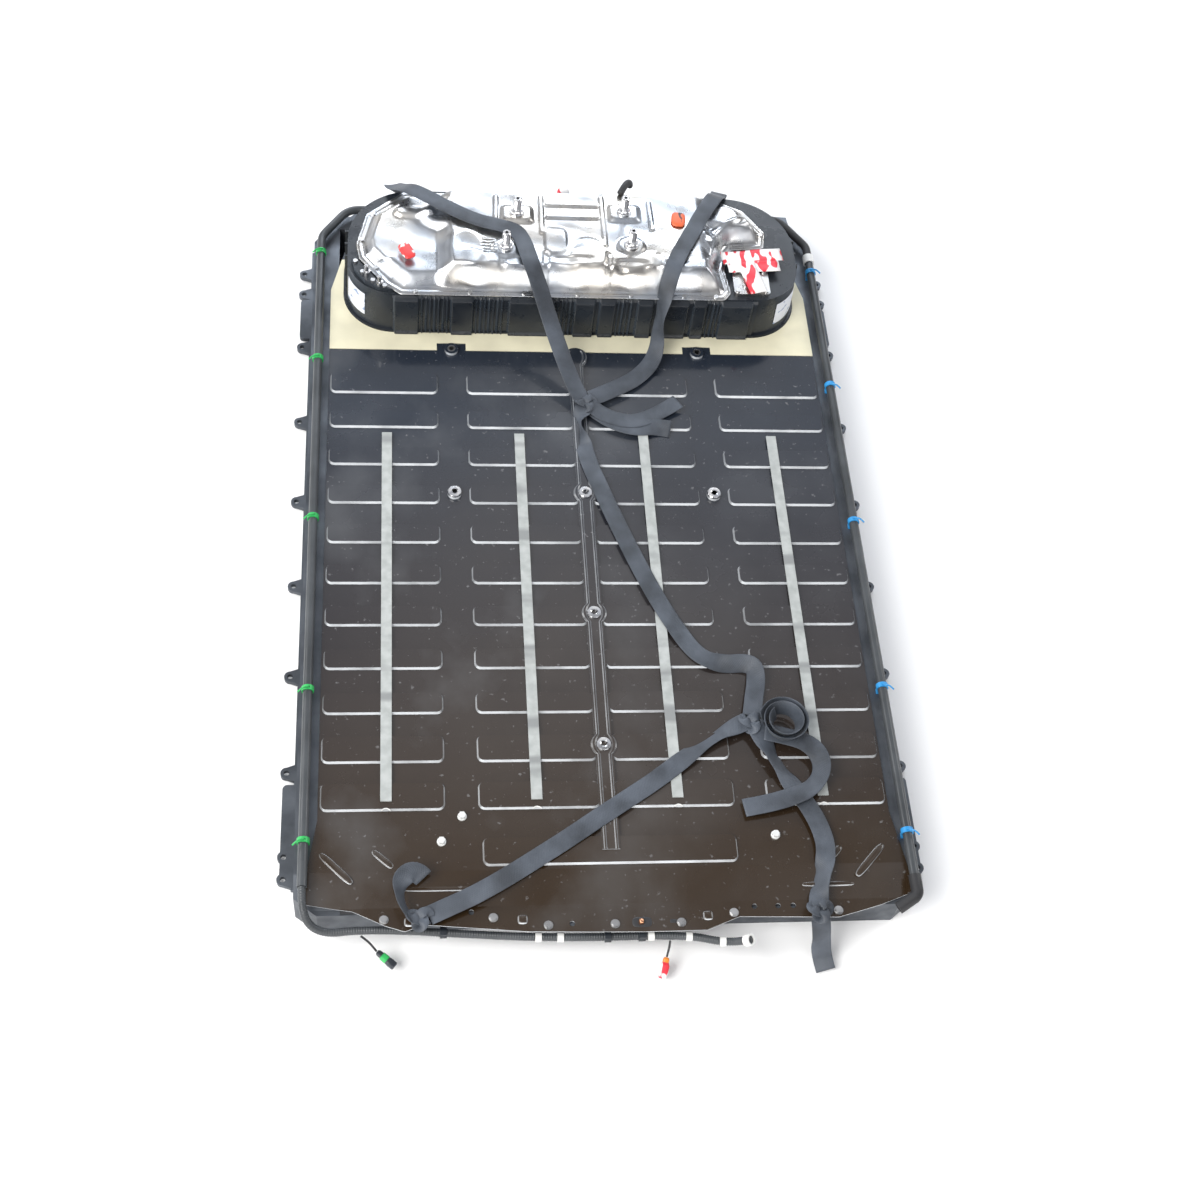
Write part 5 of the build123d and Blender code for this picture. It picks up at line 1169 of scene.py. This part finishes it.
def add_base_relief():
    """Raised panels with rounded edges between clusters of ribs, down to a scalloped foot."""
    columns, rows = 480, 34
    x_low, x_high = -0.480, 0.480
    z_low, z_high = LID_TOP + 0.003, BASE_TOP - 0.006
    xs = np.linspace(x_low, x_high, columns + 1)
    depth = np.full_like(xs, 4.2)
    for start, end in PANELS:
        rise = smooth(xs / MM, start, start + 5) * (1 - smooth(xs / MM, end - 5, end))
        depth = np.maximum(depth, 4.2 + 8.8 * rise)
    gaps = [(a[1], b[0]) for a, b in zip(PANELS, PANELS[1:])]
    for start, end in gaps:
        for place in np.arange(start + 7, end - 4, 11):
            depth = np.maximum(depth, 4.2 + 4.5 * (1 - smooth(np.abs(xs / MM - place), 1.0, 3.0)))
    points, faces = [], []
    for row in range(rows + 1):
        z = z_low + (z_high - z_low) * row / rows
        ease = smooth(np.array([(z_high - z) / MM]), 0, 9)[0]
        foot = 3.5 * (1 - smooth(np.array([(z - z_low) / MM]), 0, 12)[0])
        wall = HOUSING_FRONT + (z - LID_TOP) * math.tan(math.radians(2.0))
        for x, reach in zip(xs, depth):
            points.append((x, wall - (reach * ease + foot * (reach > 8)) * MM, z))
    width = columns + 1
    for row in range(rows):
        for column in range(columns):
            a = row * width + column
            faces.append((a, a + 1, a + 1 + width, a + width))
    back = len(points)
    points += [(x_low, HOUSING_FRONT + 0.003, z_low), (x_high, HOUSING_FRONT + 0.003, z_low)]
    points += [(x_high, HOUSING_FRONT + 0.007, z_high), (x_low, HOUSING_FRONT + 0.007, z_high)]
    faces.append((back + 3, back + 2, back + 1, back))
    bottom = list(range(width))
    faces.append([back, back + 1] + bottom[::-1])
    top = [rows * width + c for c in range(width)]
    faces.append(top + [back + 2, back + 3])
    faces.append([back, 0] + [r * width for r in range(1, rows + 1)] + [back + 3])
    right = [r * width + columns for r in range(rows + 1)]
    faces.append([back + 1, back + 2] + right[::-1])
    add_mesh("base_relief", points, faces, "black_plastic", smooth=False)


add_base_relief()

# ---- Small pressed arrows beside the foam strips ----
ARROW_REACH = 0.010
ARROW_ENDS = (
    ("front", low("foam_strips").y - 0.012, 1, BEAD_TOP + 0.0005),
    ("rear", high("foam_strips").y + 0.190, -1, LID_TOP + 0.0015),
)
for strip_index, strip_x in enumerate((-0.493, -0.159, 0.159, 0.493)):
    for end_name, tip_y, opening, arrow_z in ARROW_ENDS:
        corners = []
        for k in (-1, 0, 1):
            corner_y = tip_y - opening * abs(k) * ARROW_REACH
            corners.append(Vector((strip_x + k * ARROW_REACH, corner_y, arrow_z)))
        tube(f"arrow_{end_name}_{strip_index + 1}", corners, 0.0014, "white_tape", step=0.002, sides=8)

# ---- Setting ----
def add_floor():
    """A plain pale floor under everything."""
    mesh = bpy.data.meshes.new("floor")
    reach = 14.0
    corners = [(-reach, -reach, 0), (reach, -reach, 0), (reach, reach, 0), (-reach, reach, 0)]
    mesh.from_pydata(corners, [], [(0, 1, 2, 3)])
    floor = bpy.data.objects.new("floor", mesh)
    bpy.context.scene.collection.objects.link(floor)
    mesh.materials.append(Shader("floor", (0.97, 0.97, 0.97), 0.9).material)


def add_light(name, place, target, size, power, color=(1, 1, 1)):
    """One soft rectangular light, aimed at a target."""
    data = bpy.data.lights.new(name, "AREA")
    data.shape = "RECTANGLE"
    data.size, data.size_y = size
    data.energy = power
    data.color = color
    light = bpy.data.objects.new(name, data)
    light.location = place
    light.rotation_euler = (Vector(target) - Vector(place)).to_track_quat("-Z", "Y").to_euler()
    bpy.context.scene.collection.objects.link(light)


def add_world():
    """A studio with soft bright and dim patches all round, for the metal to reflect."""
    world = bpy.data.worlds.new("studio")
    world.use_nodes = True
    nodes, links = world.node_tree.nodes, world.node_tree.links
    direction = nodes.new("ShaderNodeTexCoord").outputs["Generated"]
    stretch = nodes.new("ShaderNodeMapping")
    stretch.inputs["Scale"].default_value = (1.0, 1.0, 2.2)
    links.new(direction, stretch.inputs["Vector"])
    patches = nodes.new("ShaderNodeTexNoise")
    patches.inputs["Scale"].default_value = 2.6
    patches.inputs["Detail"].default_value = 1.5
    links.new(stretch.outputs["Vector"], patches.inputs["Vector"])
    tones = nodes.new("ShaderNodeValToRGB")
    stops = ((0.34, (0.07, 0.07, 0.08)), (0.47, (0.28, 0.27, 0.27)), (0.57, (0.66, 0.70, 0.78)))
    stops += ((0.67, (1.3, 1.27, 1.24)),)
    while len(tones.color_ramp.elements) < len(stops):
        tones.color_ramp.elements.new(0.5)
    for element, (place, color) in zip(tones.color_ramp.elements, stops):
        element.position = place
        element.color = (*color, 1)
    links.new(patches.outputs["Fac"], tones.inputs["Fac"])
    background = nodes["Background"]
    links.new(tones.outputs["Color"], background.inputs["Color"])
    background.inputs["Strength"].default_value = 0.85
    bpy.context.scene.world = world


add_floor()
add_world()
add_light("rear_softbox", (0.4, 6.0, 3.6), (0, 0.6, 0), (5.0, 1.6), 210, (0.84, 0.91, 1.0))
add_light("front_strip", (0.0, -5.0, 1.1), (0, -0.2, 0), (7.0, 0.9), 90, (1.0, 0.98, 0.95))
add_light("overhead", (-3.6, -2.9, 5.0), (0, 0, 0), (3.8, 3.8), 420, (1.0, 0.99, 0.97))
add_light("left_softbox", (-4.5, 1.5, 3.0), (0, 0.3, 0), (2.5, 2.5), 80)
add_light("right_softbox", (4.5, 1.5, 3.2), (0.4, 0.6, 0), (2.5, 2.5), 80)
bpy.context.scene.view_settings.view_transform = "Standard"
